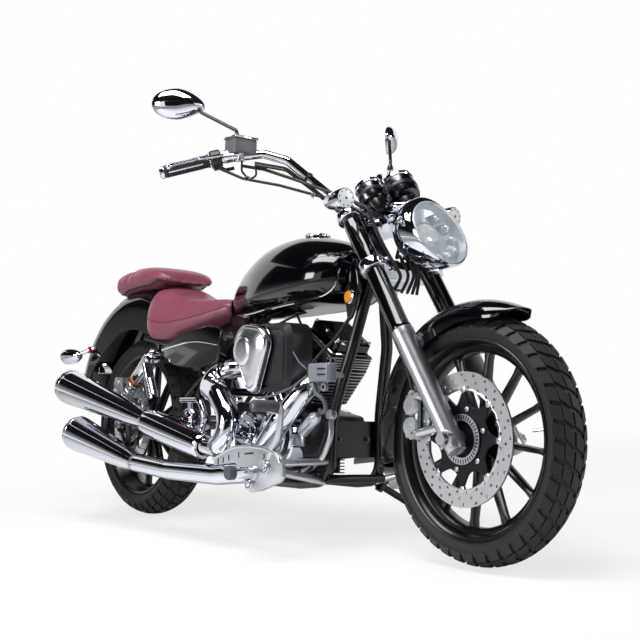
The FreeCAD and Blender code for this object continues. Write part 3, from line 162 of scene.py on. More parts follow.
# Cast aluminium, blasted or buffed by hand: bright, with a grain that blurs what it mirrors.
SATIN = textured(material("satin cast aluminium", "#b9bbc1", metallic=1.0, roughness=0.34), 1.11, 0.05, 0.4)
CAST_SILVER = textured(material("polished cast aluminium", "#c9ccd2", metallic=0.85, roughness=0.28), 3.85,
                       0.12, 0.4)
# Ground steel, and anodised aluminium, whose dyed film dims the metal but keeps its sheen.
STEEL = material("brushed stainless steel", "#c9cacd", metallic=1.0, roughness=0.3)
DARK_METAL = material("dark anodised aluminium", "#4a4b50", metallic=1.0, roughness=0.42)
CARRIER_BLACK = material("black anodised carrier", "#1d1d22", metallic=0.7, roughness=0.38)
SMOKED_METAL = material("smoked bright metal", "#5b5a66", metallic=1.0, roughness=0.2)
ORANGE_RING = material("orange anodised ring", "#c8683a", metallic=0.5, roughness=0.35)
# Sprayed and baked paint: gloss under a clear coat, satin on tubes and wheels, crackle on the hot engine.
BLACK_GLOSS = material("gloss black paint", "#050509", roughness=0.1, coat_weight=0.35, coat_roughness=0.02)
BLACK_SATIN = material("satin black paint", "#0a0a0e", roughness=0.27)
ENGINE_BLACK = textured(material("crackle black engine paint", "#16161b", roughness=0.42), 0.714, 0.1, 0.3)
WHITE_PAINT = material("white enamel", "#eef0f2", roughness=0.25)
# Vulcanised rubber: dull and nearly black, with the mould's fine grain on the tyres.
RUBBER = textured(material("tyre rubber", "#101013", roughness=0.6), 1.43, 0.12, 0.4)
SOFT_RUBBER = material("moulded rubber", "#131316", roughness=0.55)
PEDAL_GREY = material("grey ribbed rubber", "#4a4c52", roughness=0.6)
# Injection-moulded plastic: one even colour with a soft sheen.
PLASTIC = material("black moulded plastic", "#18181c", roughness=0.4)
GREY_PLASTIC = material("grey moulded plastic", "#5d5e64", roughness=0.45)
COIL_GREY = material("grey painted housing", "#8b8f98", metallic=0.3, roughness=0.38)
YELLOW_TAG = material("yellow connector plastic", "#c8b45a", roughness=0.5)
# Vinyl leather, embossed with a grain that breaks up its highlights, and its darker thread.
LEATHER = textured(material("burgundy vinyl leather", "#7f4252", roughness=0.36), 1.92, 0.25, 0.6)
LEATHER_SEAM = material("seam thread", "#5e2630", roughness=0.5)
# Lens plastic and glass.  A thin clear shell bends light little, so the rings behind it stay sharp.
LENS = material("clear lens", "#ffffff", roughness=0.02, transmission_weight=1.0, ior=1.12)
REFLECTOR = material("silvered lamp reflector", "#dfe6ec", metallic=0.35, roughness=0.3)
BULB_GLASS = material("projector glass", "#eef4f6", metallic=0.25, roughness=0.1)
RED_LENS = material("red lens plastic", "#8f0f14", roughness=0.15)
AMBER = material("amber reflector plastic", "#d98a1c", roughness=0.2)
DARK_GLASS = material("mirror glass", "#7d848f", metallic=1.0, roughness=0.03)

# %% Finish of each slot
SLOT_MATERIALS = {
    "chrome": CHROME, "satin_aluminium": SATIN, "steel": STEEL, "dark_carrier": DARK_METAL,
    "black_paint": BLACK_GLOSS, "black_frame": BLACK_SATIN, "black_wheel": BLACK_SATIN,
    "engine_black": ENGINE_BLACK, "tyre": RUBBER, "rubber": SOFT_RUBBER, "black_plastic": PLASTIC,
    "grey_plastic": GREY_PLASTIC, "seat_leather": LEATHER, "clear_lens": LENS, "red_lens": RED_LENS,
}
# Slot of the record that each material of the added pieces belongs to, by the material's name.
SLOT_OF = {shade.name: slot for slot, shade in SLOT_MATERIALS.items() if slot != "black_wheel"}
OTHER_SHADES = {"chrome": (SOFT_CHROME, REFLECTOR, DARK_GLASS), "dark_carrier": (SMOKED_METAL, CARRIER_BLACK),
                "satin_aluminium": (CAST_SILVER,), "steel": (ORANGE_RING,), "seat_leather": (LEATHER_SEAM,),
                "rubber": (PEDAL_GREY,), "grey_plastic": (COIL_GREY, YELLOW_TAG), "red_lens": (AMBER,),
                "clear_lens": (WHITE_PAINT, BULB_GLASS)}
SLOT_OF |= {shade.name: slot for slot, shades in OTHER_SHADES.items() for shade in shades}
for part in frame["record"]["subparts"]:
    mesh = NODES[part["node"]].data
    mesh.materials.clear()
    mesh.materials.append(SLOT_MATERIALS[part["material_slot"]])
    mesh.polygons.foreach_set("use_smooth", [True] * len(mesh.polygons))
    mesh.set_sharp_from_angle(angle=math.radians(35))
print(f"{len(SLOT_MATERIALS)} slots and {len(SLOT_OF)} finishes")

# %% [markdown]
# ## Shape helpers
# Every helper adds to a bmesh in the upright machine's millimetres; `finish_piece` bakes the result
# into the row's frame and hangs it on its CAD body.

# %% Rings, frames and turned shapes
def ring(bm, points):
    """New vertices, one for each point of a section."""
    return [bm.verts.new(point) for point in points]


def bridge(bm, rings, closed=True, cap=True):
    """Skin between rings of equal length."""
    for first, second in zip(rings, rings[1:]):
        count = len(first)
        for step in range(count if closed else count - 1):
            after = (step + 1) % count
            bm.faces.new((first[step], first[after], second[after], second[step]))
    if cap:
        bm.faces.new(rings[0][::-1])
        bm.faces.new(rings[-1])


SIDES = {-1: "right", 1: "left"}


def polar(radius, angle):
    """X and Y of a point at a radius and an angle."""
    return radius * math.cos(angle), radius * math.sin(angle)


def placed(origin, axis, side=(0, 0, 1)):
    """Matrix whose Z runs along an axis and whose X leans to `side`."""
    z = Vector(axis).normalized()
    x = Vector(side) - z * z.dot(Vector(side))
    if x.length < 1e-4:
        x = z.orthogonal()
    x.normalize()
    return Matrix.Translation(origin) @ Matrix((x, z.cross(x), z)).transposed().to_4x4()


def moved(x, y, z):
    """Shift along the local axes."""
    return Matrix.Translation((x, y, z))


def turned(degrees):
    """Turn about the local Z axis."""
    return Matrix.Rotation(math.radians(degrees), 4, "Z")


def side_frame(x, y, z, side=-1):
    """Frame on one side of the machine: X forward, Y up, Z outwards."""
    return Matrix(((1, 0, 0, x), (0, 0, side, side * y), (0, 1, 0, z), (0, 0, 0, 1)))


def lathe(bm, outline, where=Matrix.Identity(4), steps=48, closed=False):
    """Turned shape: outline of (radius, height) pairs about the local Z axis."""
    verts = [bm.verts.new(where @ Vector((radius, 0, height))) for radius, height in outline]
    pairs = list(zip(verts, verts[1:] + verts[:1] if closed else verts[1:]))
    edges = [bm.edges.new(pair) for pair in pairs]
    axis = where.to_3x3() @ Vector((0, 0, 1))
    bmesh.ops.spin(bm, geom=verts + edges, cent=where.translation, axis=axis, dvec=(0, 0, 0),
                   angle=math.tau, steps=steps, use_merge=True)

# %% [markdown]
# ## Tubes
# Bars, cables and pipes are round in section, so a ring is carried along a line. Each ring turns only as
# far as the line does, which keeps a tube from twisting.

# %% Tubes
def rounded(points, radius=30, pieces=6):
    """Polyline with its corners turned into arcs of about the given radius."""
    points = [Vector(point) for point in points]
    line = [points[0]]
    for before, corner, after in zip(points, points[1:], points[2:]):
        back, on = before - corner, after - corner
        reach = min(radius * math.tan((math.pi - back.angle(on)) / 2), 0.48 * back.length, 0.48 * on.length)
        start, end = corner + back.normalized() * reach, corner + on.normalized() * reach
        for step in range(pieces + 1):
            t = step / pieces
            line.append(start * (1 - t) ** 2 + corner * 2 * t * (1 - t) + end * t * t)
    line.append(points[-1])
    return line


def rod(bm, radius, low, high, where=Matrix.Identity(4), steps=48):
    """Solid cylinder between two heights on the local Z axis."""
    lathe(bm, [(0, low), (radius, low), (radius, high), (0, high)], where, steps)


def sleeve(bm, inner, outer, low, high, where=Matrix.Identity(4), steps=48):
    """Short pipe between two heights on the local Z axis."""
    lathe(bm, [(inner, low), (outer, low), (outer, high), (inner, high)], where, steps, closed=True)


def directions(line):
    """Unit direction of a line of points at each of them."""
    return [(line[min(index + 1, len(line) - 1)] - line[max(index - 1, 0)]).normalized()
            for index in range(len(line))]


def tube(bm, line, radius, steps=16):
    """Round tube along a line; the radius may be a list, one per point."""
    line = [Vector(point) for point in line]
    radii = [radius] * len(line) if isinstance(radius, (int, float)) else radius
    tangent = (line[1] - line[0]).normalized()
    side = tangent.orthogonal().normalized()
    rings = []
    for spot, size, ahead in zip(line, radii, directions(line)):
        turn = tangent.rotation_difference(ahead)
        tangent, side = ahead, (turn @ side).normalized()
        other = tangent.cross(side)
        angles = [math.tau * k / steps for k in range(steps)]
        rings.append(ring(bm, [spot + (side * math.cos(a) + other * math.sin(a)) * size for a in angles]))
    bridge(bm, rings)

# %% [markdown]
# ## Plates, boxes and bolts
# A plate is an outline pushed to a depth. A bevel breaks its edges, because a real edge is never sharp and
# catches a thin line of light.

# %% Plates, boxes and bolts
def prism(bm, outline, where, depth, bevel=0.0, segments=2):
    """Plate with a closed outline in local XY, from local Z 0 to its depth, with its edges rounded."""
    base = ring(bm, [where @ Vector((x, y, 0)) for x, y in outline])
    top = ring(bm, [where @ Vector((x, y, depth)) for x, y in outline])
    bridge(bm, [base, top])
    if bevel:
        edges = {edge for vert in base + top for edge in vert.link_edges}
        bmesh.ops.bevel(bm, geom=list(edges), offset=bevel, segments=segments, affect="EDGES", profile=0.5)


def brick(bm, low, high, where=Matrix.Identity(4), bevel=0.0, segments=2):
    """Box between two corners with its edges rounded."""
    (x0, y0, z0), (x1, y1, z1) = low, high
    prism(bm, [(x0, y0), (x1, y0), (x1, y1), (x0, y1)], where @ moved(0, 0, z0), z1 - z0, bevel,
          segments)


def bolt(bm, spot, axis, radius=6, height=5):
    """Domed socket-head bolt."""
    lathe(bm, [(0, height * 0.55), (radius * 0.5, height * 0.55), (radius * 0.55, height),
               (radius * 0.9, height * 0.9), (radius, height * 0.6), (radius, 0)], placed(spot, axis), 16)


def both_sides(bm):
    """Add the mirror image of everything built so far on the other side of the machine."""
    made = bmesh.ops.duplicate(bm, geom=list(bm.verts) + list(bm.edges) + list(bm.faces))["geom"]
    bmesh.ops.scale(bm, vec=(1, -1, 1), verts=[item for item in made if isinstance(item, bmesh.types.BMVert)])

# %% [markdown]
# ## Finishing a piece
# Doubles are merged before normals are turned outwards. The piece is then baked into the frame and hung on
# the body it moves with.

# %% Finishing a piece
def finish_piece(bm, name, shade, body, replaces=(), angle=32, shades=()):
    """Turn a bmesh into a finished object of the row's frame that moves with a CAD body."""
    bmesh.ops.remove_doubles(bm, verts=bm.verts, dist=0.02)
    bmesh.ops.recalc_face_normals(bm, faces=bm.faces)
    bm.transform(BIKE)
    mesh = bpy.data.meshes.new(name)
    bm.to_mesh(mesh)
    bm.free()
    for item in (shade, *shades):
        mesh.materials.append(item)
    mesh.polygons.foreach_set("use_smooth", [True] * len(mesh.polygons))
    mesh.set_sharp_from_angle(angle=math.radians(angle))
    obj = bpy.data.objects.new(name, mesh)
    bpy.context.scene.collection.objects.link(obj)
    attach(obj, body)
    if replaces:
        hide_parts(*replaces)
    print(f"{name}: {len(mesh.polygons)} faces of {shade.name}")
    return obj


def paint(bm, index, older):
    """Give every face that isn't among the `older` ones another material slot."""
    for face in bm.faces:
        if face not in older:
            face.material_index = index

# %% [markdown]
# ## Wheels and tyres
# A cast wheel has twelve tapered blades between hub and rim.  The tyre's body is turned from a
# rounded section, and raised blocks wrap its crown in alternating rows.

# %% Wheel sizes
WHEELS = {
    # body: axle, tyre radius, tyre half width, rim half width, hub half width, blocks round the tyre
    "front": (FRONT, 302, 52, 40, 54, 42),
    "rear": (REAR, 311, 70, 56, 74, 40),
}
CELL_CORNERS = ((0, 0), (0.5, 0), (1, 0), (1, 0.5), (1, 1), (0.5, 1), (0, 1), (0, 0.5))
SPOKES = 12
SPOKE_PHASE = -6.5


def wheel_frame(axle):
    """Wheel frame: Z along the axle to the rider's right, X forward, Y up."""
    return Matrix.Translation(axle) @ Matrix.Rotation(math.pi / 2, 4, "X")


def crown_point(radius, half, turn, lift=0.0):
    """Point of the tyre's outer skin: turn 0 at the crown, 1 at the side wall's bulge."""
    widest = math.radians(78)
    angle = turn * widest
    deep = half * 0.86
    return (radius - deep * (1 - math.cos(angle)) + lift * math.cos(angle),
            (half - 1) * math.sin(angle) / math.sin(widest) + lift * math.sin(angle))

# %% [markdown]
# ## Tyres
# A moulded rubber casing whose tread blocks flex and shed water. A texture could fake the blocks, but their
# gaps show on the outline, so each is a raised solid on a turned body.

# %% Tyres
def tyre(end):
    axle, radius, half, rim_half, _, blocks = WHEELS[end]
    where = wheel_frame(axle)
    groove = 5.5
    crown = [crown_point(radius - groove, half - 0.5, step / 12) for step in range(-12, 13)]
    wall = [(272, half - 0.5), (258, half - 4), (246, rim_half + 4), (240, rim_half + 1), (234, rim_half - 1)]
    outline = [(r, -z) for r, z in wall[::-1]] + crown + wall
    bm = bmesh.new()
    lathe(bm, outline, where, 160, closed=True)
    for side in (-1, 1):
        lathe(bm, [(262, side * (half - 3.2)), (263, side * (half - 0.4)), (266, side * (half - 0.4)),
                   (267, side * (half - 2.2))], where, 120)
    # rows of blocks: start and end across the crown, angular offset in pitches, slant in pitches
    rows = [(-0.16, 0.16, 0.0, 0.34), (0.2, 0.5, 0.35, 0.5), (-0.5, -0.2, 0.35, -0.5),
            (0.54, 0.93, 0.62, 0.28), (-0.93, -0.54, 0.62, -0.28)]
    pitch = math.tau / blocks
    for number in range(blocks):
        for first, last, offset, slant in rows:
            middle = (first + last) / 2
            layers = []
            for lift, shrink in ((-1.5, 1.0), (groove - 1.2, 1.0), (groove - 0.2, 0.9)):
                points = []
                for u, v in CELL_CORNERS:
                    u, v = 0.5 + (u - 0.5) * shrink, 0.5 + (v - 0.5) * shrink
                    turn = first + (last - first) * u
                    spread = (v - 0.5) * 0.72 + (turn - middle) * slant / (last - first) + offset
                    angle = (number + spread) * pitch
                    r, z = crown_point(radius - groove, half - 0.5, turn, lift)
                    points.append(where @ Vector((*polar(r, angle), z)))
                layers.append(ring(bm, points))
            bridge(bm, layers)
    finish_piece(bm, f"{end}_block_tyre", RUBBER, f"{end}_wheel", [f"{end}_tyre"], 30)


for end in WHEELS:
    tyre(end)

# %% [markdown]
# ## Cast wheels
# Each wheel is one aluminium casting, painted black. The rim and the hub are turned, and one tapered blade
# is repeated round them, so every spoke is the same.

# %% Cast wheels
def blade(bm, where, hub, rim, depth_in, depth_out):
    """One tapered spoke along local X, rounded on both faces."""
    layers = []
    for share in (0, 0.12, 0.5, 0.88, 1):
        along = hub + (rim - hub) * share
        flare = 1 + 0.9 * max(0, 0.12 - share) / 0.12 + 0.7 * max(0, share - 0.88) / 0.12
        wide = (9.5 - 2.2 * share) * flare
        deep = depth_in + (depth_out - depth_in) * share
        section = [(wide, 0.2 * deep), (wide * 0.7, 0.85 * deep), (0, deep), (-wide * 0.7, 0.85 * deep),
                   (-wide, 0.2 * deep), (-wide, -0.2 * deep), (-wide * 0.7, -0.85 * deep), (0, -deep),
                   (wide * 0.7, -0.85 * deep), (wide, -0.2 * deep)]
        layers.append(ring(bm, [where @ Vector((along, y, z)) for y, z in section]))
    bridge(bm, layers)


def cast_wheel(end):
    axle, _, _, rim_half, hub_half, _ = WHEELS[end]
    where = wheel_frame(axle)
    bm = bmesh.new()
    lip = rim_half + 6
    half_section = [(210, 0), (209, 14), (213, 20), (224, rim_half * 0.62), (229, rim_half - 4),
                    (233, rim_half + 1), (238, rim_half + 5), (241.5, lip), (243, lip - 1.5), (243, lip - 4),
                    (240, rim_half + 0.5), (235, rim_half - 2), (231, rim_half - 6)]
    lathe(bm, [(r, z) for r, z in half_section] + [(r, -z) for r, z in half_section[::-1][:-1]], where, 128,
          closed=True)
    hub = [(34, hub_half), (38, hub_half - 2), (38, hub_half - 14), (44, 26), (44, -26), (38, 14 - hub_half),
           (38, 2 - hub_half), (34, -hub_half), (12, -hub_half), (12, hub_half)]
    lathe(bm, hub, where, 64, closed=True)
    for spoke in range(SPOKES):
        turn = where @ Matrix.Rotation(math.tau * spoke / SPOKES + math.radians(SPOKE_PHASE), 4, "Z")
        blade(bm, turn, 40, 211, 17, 12)
    finish_piece(bm, f"{end}_cast_wheel", BLACK_SATIN, f"{end}_wheel", [f"{end}_wheel"], 40)
    bm = bmesh.new()
    stem = where @ turned(8)
    tube(bm, [stem @ Vector((208, 0, 8)), stem @ Vector((176, 0, 14))], 4, 10)
    finish_piece(bm, f"{end}_valve", STEEL, f"{end}_wheel")


for end in WHEELS:
    cast_wheel(end)

# %% [markdown]
# ## Brake discs
# A disc is a steel ring drilled to shed heat, riveted to a dark carrier. Cutting real holes is slow and
# leaves ragged faces. A grid of cells, each with one hole, stays clean.

# %% Brake discs
HOLE_RADIUS = 4.1
DISC_HALF = 2.5


def drilled_ring(bm, where, inner, outer, level, sectors=24, rows=3):
    """One face of a brake disc: a grid of cells, each holding one hole down to the disc's middle."""
    width, cell = (outer - inner) / rows, math.tau / sectors
    for sector in range(sectors):
        for row in range(rows):
            low, start = inner + row * width, sector * cell + row * cell / 3
            edge = [Vector((*polar(low + v * width, start + u * cell), level)) for u, v in CELL_CORNERS]
            middle = Vector((*polar(low + width / 2, start + cell / 2), level))
            rim = [middle + (point - middle).normalized() * HOLE_RADIUS for point in edge]
            deep = [point - Vector((0, 0, level)) for point in rim]
            bridge(bm, [ring(bm, [where @ point for point in points]) for points in (edge, rim, deep)],
                   cap=False)


def brake_disc(end, outer, inner, level, arms):
    """Drilled ring on dark carrier arms, with bright bobbins, bolts and a slotted sensor ring."""
    axle, _, _, _, hub_half, _ = WHEELS[end]
    where = wheel_frame(axle) @ moved(0, 0, level)
    out = where.to_3x3() @ Vector((0, 0, 1))
    bm = bmesh.new()
    for face_level in (-DISC_HALF, DISC_HALF):
        drilled_ring(bm, where, inner, outer, face_level)
    for radius in (inner, outer):
        lathe(bm, [(radius, -DISC_HALF), (radius, DISC_HALF)], where, 96)
    finish_piece(bm, f"{end}_drilled_disc", STEEL, f"{end}_wheel", [f"{end}_disc"], 40)
    bm = bmesh.new()
    outline = []
    for step in range(arms * 12):
        angle = math.tau * step / (arms * 12)
        bump = 0.5 + 0.5 * math.cos(angle * arms)
        outline.append(polar(inner - 36 + 34 * bump ** 3, angle))
    prism(bm, outline, where @ moved(0, 0, -2.8), 5.6, 1.0, 1)
    carrier_faces = set(bm.faces)
    for arm in range(arms):
        bobbin = where @ Matrix.Translation((*polar(inner + 1, math.tau * arm / arms), 0))
        lathe(bm, [(0, 5), (5, 5), (8, 4.2), (8.6, 2), (8.6, -2), (8, -4.2), (0, -5)], bobbin, 20)
    for number in range(6):
        spot = polar(inner * 0.62, math.tau * number / 6 + 0.3)
        bolt(bm, where @ Vector((*spot, 2.6)), out, 6.5, 5)
    lathe(bm, [(44, 3), (58, 3), (60, 5), (60, 8), (44, 8)], where, 64, closed=True)
    paint(bm, 1, carrier_faces)
    for number in range(40):
        turn = where @ Matrix.Rotation(math.tau * number / 40, 4, "Z")
        brick(bm, (48, -1.3, 7.9), (58, 1.3, 8.6), turn)
    hub_depth = level - hub_half
    lathe(bm, [(36, -hub_depth), (43, -hub_depth + 1), (46, -4), (46, 2.8), (36, 2.8)], where, 48,
          closed=True)
    finish_piece(bm, f"{end}_disc_carrier_detail", CARRIER_BLACK, f"{end}_wheel", [f"{end}_disc_carrier"], 35,
                 [STEEL])


brake_disc("front", 161, 117, 62.5, 8)
brake_disc("rear", 132, 92, 82.5, 6)

# %% [markdown]
# ## Fork, clamps and front fender
# The legs, the clamps and the stem share one frame that leans with the steering axis, so their heights
# are measured along the fork.

# %% Places along the fork
LEG_Y = 99.6


def along_leg(side, height, ahead=0.0, out=0.0):
    """Point beside a fork leg, at a height above the axle's level."""
    return steered(FORK_LEAD + ahead, side * (LEG_Y + out), height)

# %% [markdown]
# ## Fork legs
# A black cover hides the upper tube, and the cast slider below it moves with the wheel. Both are round, so
# they are turned from outlines along the leg.

# %% Fork legs
def fork_cover(bm, leg):
    """Upper cover of one leg with a seam ring, and the cap with its hexagon."""
    lathe(bm, [(24, 322.5), (27, 324), (27.6, 330), (26, 334), (26, 524), (27.5, 526), (27.5, 531), (26, 533),
               (26, 712), (24, 717), (18, 720), (17, 724), (15, 725), (0, 725)], leg, 40)
    for angle in range(0, 360, 60):
        turn = leg @ turned(angle)
        brick(bm, (8, -3.4, 720), (15.4, 3.4, 729), turn, 1)


def fork_slider(bm, leg, side):
    """Slider of one leg, the lug round the axle with its pinch bolts, and the fender's stay plate."""
    lathe(bm, [(0, -37), (10, -37), (21, -34), (25, -26), (26.5, -10), (26.5, 60), (27, 70), (27.4, 290),
               (28.6, 300), (29.4, 310), (29.4, 319), (27, 322), (0, 322)], leg, 40)
    axle = placed(FRONT + Vector((0, side * (LEG_Y - 26), 0)), (0, side, 0))
    lathe(bm, [(11, 0), (19, 0), (22, 4), (22, 48), (19, 54), (11, 54)], axle, 36, closed=True)
    for rise in (-14, 14):
        bolt(bm, along_leg(side, -22, -12 + rise * 0.2, rise), -STEER_UP, 5, 5)
    stay = placed(along_leg(side, 282, 0, -30), (0, -side, 0), STEER_AHEAD)
    prism(bm, [(-26, -14), (22, -22), (26, -8), (20, 14), (-14, 24), (-28, 14)], stay, 3.2, 1)
    for spot in ((-14, 4), (12, -6)):
        bolt(bm, stay @ Vector((*spot, 3)), stay.to_3x3() @ Vector((0, 0, 1)), 5.5, 4)


def fork():
    covers_bm, sliders_bm, ends_bm = bmesh.new(), bmesh.new(), bmesh.new()
    for side in (-1, 1):
        leg = placed(along_leg(side, 0), STEER_UP, STEER_AHEAD)
        fork_cover(covers_bm, leg)
        fork_slider(sliders_bm, leg, side)
        lathe(ends_bm, [(20, 318), (24, 318), (25.5, 321), (23, 326), (20, 327)], leg, 36)
        end = FRONT + Vector((0, side * 127, 0))
        bolt(ends_bm, end, (0, side, 0), 15, 9)
        lathe(ends_bm, [(9, 0), (13, 0), (13, 7), (9, 8)], placed(end, (0, side, 0)), 24)
    finish_piece(covers_bm, "fork_cover_detail", BLACK_GLOSS, "steering", ["fork_covers"])
    finish_piece(sliders_bm, "fork_slider_detail", SATIN, "steering", ["fork_sliders"])
    finish_piece(ends_bm, "fork_seals_and_axle_ends", DARK_METAL, "steering")


fork()

# %% [markdown]
# ## Fork clamps
# Two forged clamps hold the legs to the steering stem. Seen along the stem each is a flat outline, so it is
# a thick plate with broad bevels.

# %% Fork clamps
def clamp_outline(reach):
    """Half outline of a fork clamp seen along the steering axis, then mirrored."""
    points = [(-34, 0), (-32, 20), (-18, 44), (10, 66), (22, 84)]
    points += [(50 + 36 * math.cos(a), LEG_Y + 36 * math.sin(a)) for a in
               [math.radians(200 - step * 24) for step in range(11)]]
    points += [(72, 62), (reach, 40), (reach, 0)]
    return points + [(x, -y) for x, y in points[::-1][1:-1]]


def clamps():
    bm = bmesh.new()
    for level, depth, reach in ((516, 30, 68), (694, 24, 62)):
        prism(bm, clamp_outline(reach), STEER @ moved(0, 0, level), depth, 4, 3)
        for side in (-1, 1):
            bolt(bm, STEER @ Vector((88, side * 80, level + depth / 2)), STEER_AHEAD, 5.5, 5)
    lathe(bm, [(0, 730), (12, 730), (19, 727), (21, 722), (21, 716)], STEER, 32)
    finish_piece(bm, "forged_fork_clamps", CHROME, "steering", ["steering_clamps"])
    bm = bmesh.new()
    rod(bm, 15, 516, 718, STEER, 24)
    finish_piece(bm, "steering_stem", STEEL, "steering")


clamps()

# %% [markdown]
# ## Fenders
# A fender is sheet steel pressed into an arch. Rows of points follow its section round the wheel, and
# Solidify's operator then gives the sheet its thickness.

# %% Fenders
def fender_skin(name, axle, radius, half, crown, edge, first, last, body, node, trim, nose=0.0):
    """Pressed fender: rows of points across the arch, trimmed along its side skirts, thickened."""
    where = wheel_frame(axle)
    bm = bmesh.new()
    steps, rings = 48, []
    for step in range(steps + 1):
        angle = first + (last - first) * step / steps
        taper = 1.0
        if nose and angle < first + nose:
            taper = math.sqrt(max(0.02, 1 - ((first + nose - angle) / nose) ** 2))
        points = []
        for row in range(-11, 12):
            u = row / 11
            if abs(u) > 0.62:
                share = (abs(u) - 0.62) / 0.38
                knee = radius - crown
                r = knee + (min(max(trim(angle), edge), knee) - knee) * share
                z = half
            else:
                swing = abs(u) / 0.62 * math.pi / 2
                r = radius - crown + crown * math.cos(swing) ** 0.9
                z = half * math.sin(swing) ** 0.92
            if taper < 1:
                z *= 0.35 + 0.65 * taper
                r = radius - (radius - r) * taper
            z = math.copysign(z, u) if u else 0
            points.append(where @ Vector((*polar(r, math.radians(angle)), -z)))
        rings.append(ring(bm, points))
    bridge(bm, rings, closed=False, cap=False)
    bmesh.ops.remove_doubles(bm, verts=bm.verts, dist=0.2)
    bmesh.ops.recalc_face_normals(bm, faces=bm.faces)
    bmesh.ops.solidify(bm, geom=list(bm.faces), thickness=2.4)
    return finish_piece(bm, name, BLACK_GLOSS, body, [node], 40)


def circle_trim(dx, dz, cut):
    """Radius from the axle at which an off-centre round wheel opening cuts a given direction."""
    def reach(angle):
        c, s = math.cos(math.radians(angle)), math.sin(math.radians(angle))
        along = dx * c + dz * s
        return along + math.sqrt(max(0.0, along ** 2 - dx ** 2 - dz ** 2 + cut ** 2))
    return reach


fender_skin("pressed_front_fender", FRONT, 338, 66, 46, 240, 67, 194, "steering", "front_fender",
            circle_trim(40, -5, 290), 13)
fender_skin("pressed_rear_fender", REAR + Vector((6, 0, 38)), 440, 105, 70, 290, 38, 172, "frame",
            "rear_fender",
            circle_trim(-50, -58, 317))

# %% [markdown]
# ## Lamp, gauges and turn signals
# The lamp's face leans back, so its pieces share one tilted frame.

# %% Lamp frame
def oval_ring(bm, centre, axis, half_width, half_height):
    """Closed oval section square to an axis in the machine's middle plane."""
    axis = Vector(axis).normalized()
    side = Vector((0, 1, 0))
    rise = axis.cross(side).normalized() * -1
    points = []
    for step in range(48):
        across, up = polar(1, math.tau * step / 48)
        points.append(Vector(centre) + side * half_width * across + rise * half_height * up)
    return ring(bm, points)


FACE_LEAN = math.radians(27.6)
FACE = Vector((math.cos(FACE_LEAN), 0, math.sin(FACE_LEAN)))
LAMP = Vector((650, 0, 824))
# middle of each round lens in the lamp's face, to the left and up, and its radius
PROJECTORS = ((-26, 4, 34), (24, 58, 13), (48, 30, 13), (56, -4, 13), (44, -36, 13), (16, -58, 13),
              (-16, -64, 11))


def in_lamp(left, up, depth):
    """Point behind the lamp's face."""
    return LAMP - FACE * depth + Vector((up * -math.sin(FACE_LEAN), left, up * math.cos(FACE_LEAN)))

# %% [markdown]
# ## Headlight
# A chromed shell holds a silvered bowl, small round lenses and a clear cover. The lamp narrows from an oval
# face to a round back, so oval rings are bridged. The cover is a thin closed shell, as glass needs.

# %% Headlight
def headlight():
    bm = bmesh.new()
    shell = [(LAMP + FACE * 1, FACE, 87, 98), (LAMP - FACE * 3, FACE, 88.5, 99.5),
             (LAMP - FACE * 9, FACE, 88.5, 99.5), ((628, 0, 825.5), (0.93, 0, 0.34), 91.5, 102),
             ((600, 0, 828.5), (0.98, 0, 0.2), 90, 98), ((572, 0, 832.5), (1, 0, 0.08), 83, 89),
             ((548, 0, 836), (1, 0, 0.03), 72, 76), ((530, 0, 839), (1, 0, 0), 58, 61),
             ((520, 0, 840), (1, 0, 0), 44, 46), ((516, 0, 840.5), (1, 0, 0), 24, 26)]
    rings = [oval_ring(bm, *station) for station in shell]
    bridge(bm, rings, cap=False)
    bm.faces.new(rings[-1])
    inner = [oval_ring(bm, LAMP + FACE * 1, FACE, 83, 94), oval_ring(bm, LAMP - FACE * 40, FACE, 78, 88)]
    bridge(bm, [rings[0]] + inner, cap=False)
    bm.faces.new(inner[-1])
    finish_piece(bm, "headlight_shell_detail", CHROME, "steering", ["headlight_shell"], 40)
    # pale reflector bowl behind the lens
    bm = bmesh.new()
    bowl = [oval_ring(bm, LAMP - FACE * depth, FACE, wide, tall) for depth, wide, tall in
            ((2, 82, 93), (8, 80, 91), (20, 74, 85), (30, 56, 66), (34, 20, 24))]
    bridge(bm, bowl, cap=False)
    bm.faces.new(bowl[-1])
    finish_piece(bm, "headlight_reflector", REFLECTOR, "steering")
    bm = bmesh.new()
    rim = [oval_ring(bm, LAMP + FACE * depth, FACE, wide, tall) for depth, wide, tall in
           ((1, 83.5, 94.5), (3.5, 84, 95), (3.5, 81, 92), (1, 81, 92))]
    bridge(bm, rim + rim[:1], cap=False)
    for left, up, radius in PROJECTORS:
        lathe(bm, [(radius - 2, -14), (radius, -14), (radius + 1, 2), (radius - 1, 2), (radius - 2, -2)],
              placed(in_lamp(left, up, 16), FACE), 36, closed=True)
    finish_piece(bm, "headlight_rings", REFLECTOR, "steering")
    bm = bmesh.new()
    for left, up, ring_radius in PROJECTORS:
        radius = ring_radius - 3
        lathe(bm, [(radius, 0), (radius * 0.95, 6), (radius * 0.8, 9), (radius * 0.5, 11), (0, 12)],
              placed(in_lamp(left, up, 22), FACE), 32)
    finish_piece(bm, "headlight_projectors", BULB_GLASS, "steering")
    bm = bmesh.new()
    front = [oval_ring(bm, LAMP + FACE * depth, FACE, wide, tall) for depth, wide, tall in
             ((1.5, 82, 93), (4, 81, 92), (9, 72, 83), (13, 52, 60), (14.5, 26, 30), (14.6, 3, 3.5))]
    bridge(bm, front, cap=False)
    bm.faces.new(front[-1])
    back = [oval_ring(bm, LAMP + FACE * depth, FACE, wide, tall) for depth, wide, tall in
            ((-0.5, 82, 93), (2, 78, 89), (7, 70, 80), (11, 50, 58), (12.4, 24, 28), (12.5, 3, 3.5))]
    bridge(bm, back, cap=False)
    bm.faces.new(back[-1])
    bridge(bm, [front[0], back[0]], cap=False)
    finish_piece(bm, "headlight_lens_detail", LENS, "steering", ["headlight_lens"], 40)


headlight()

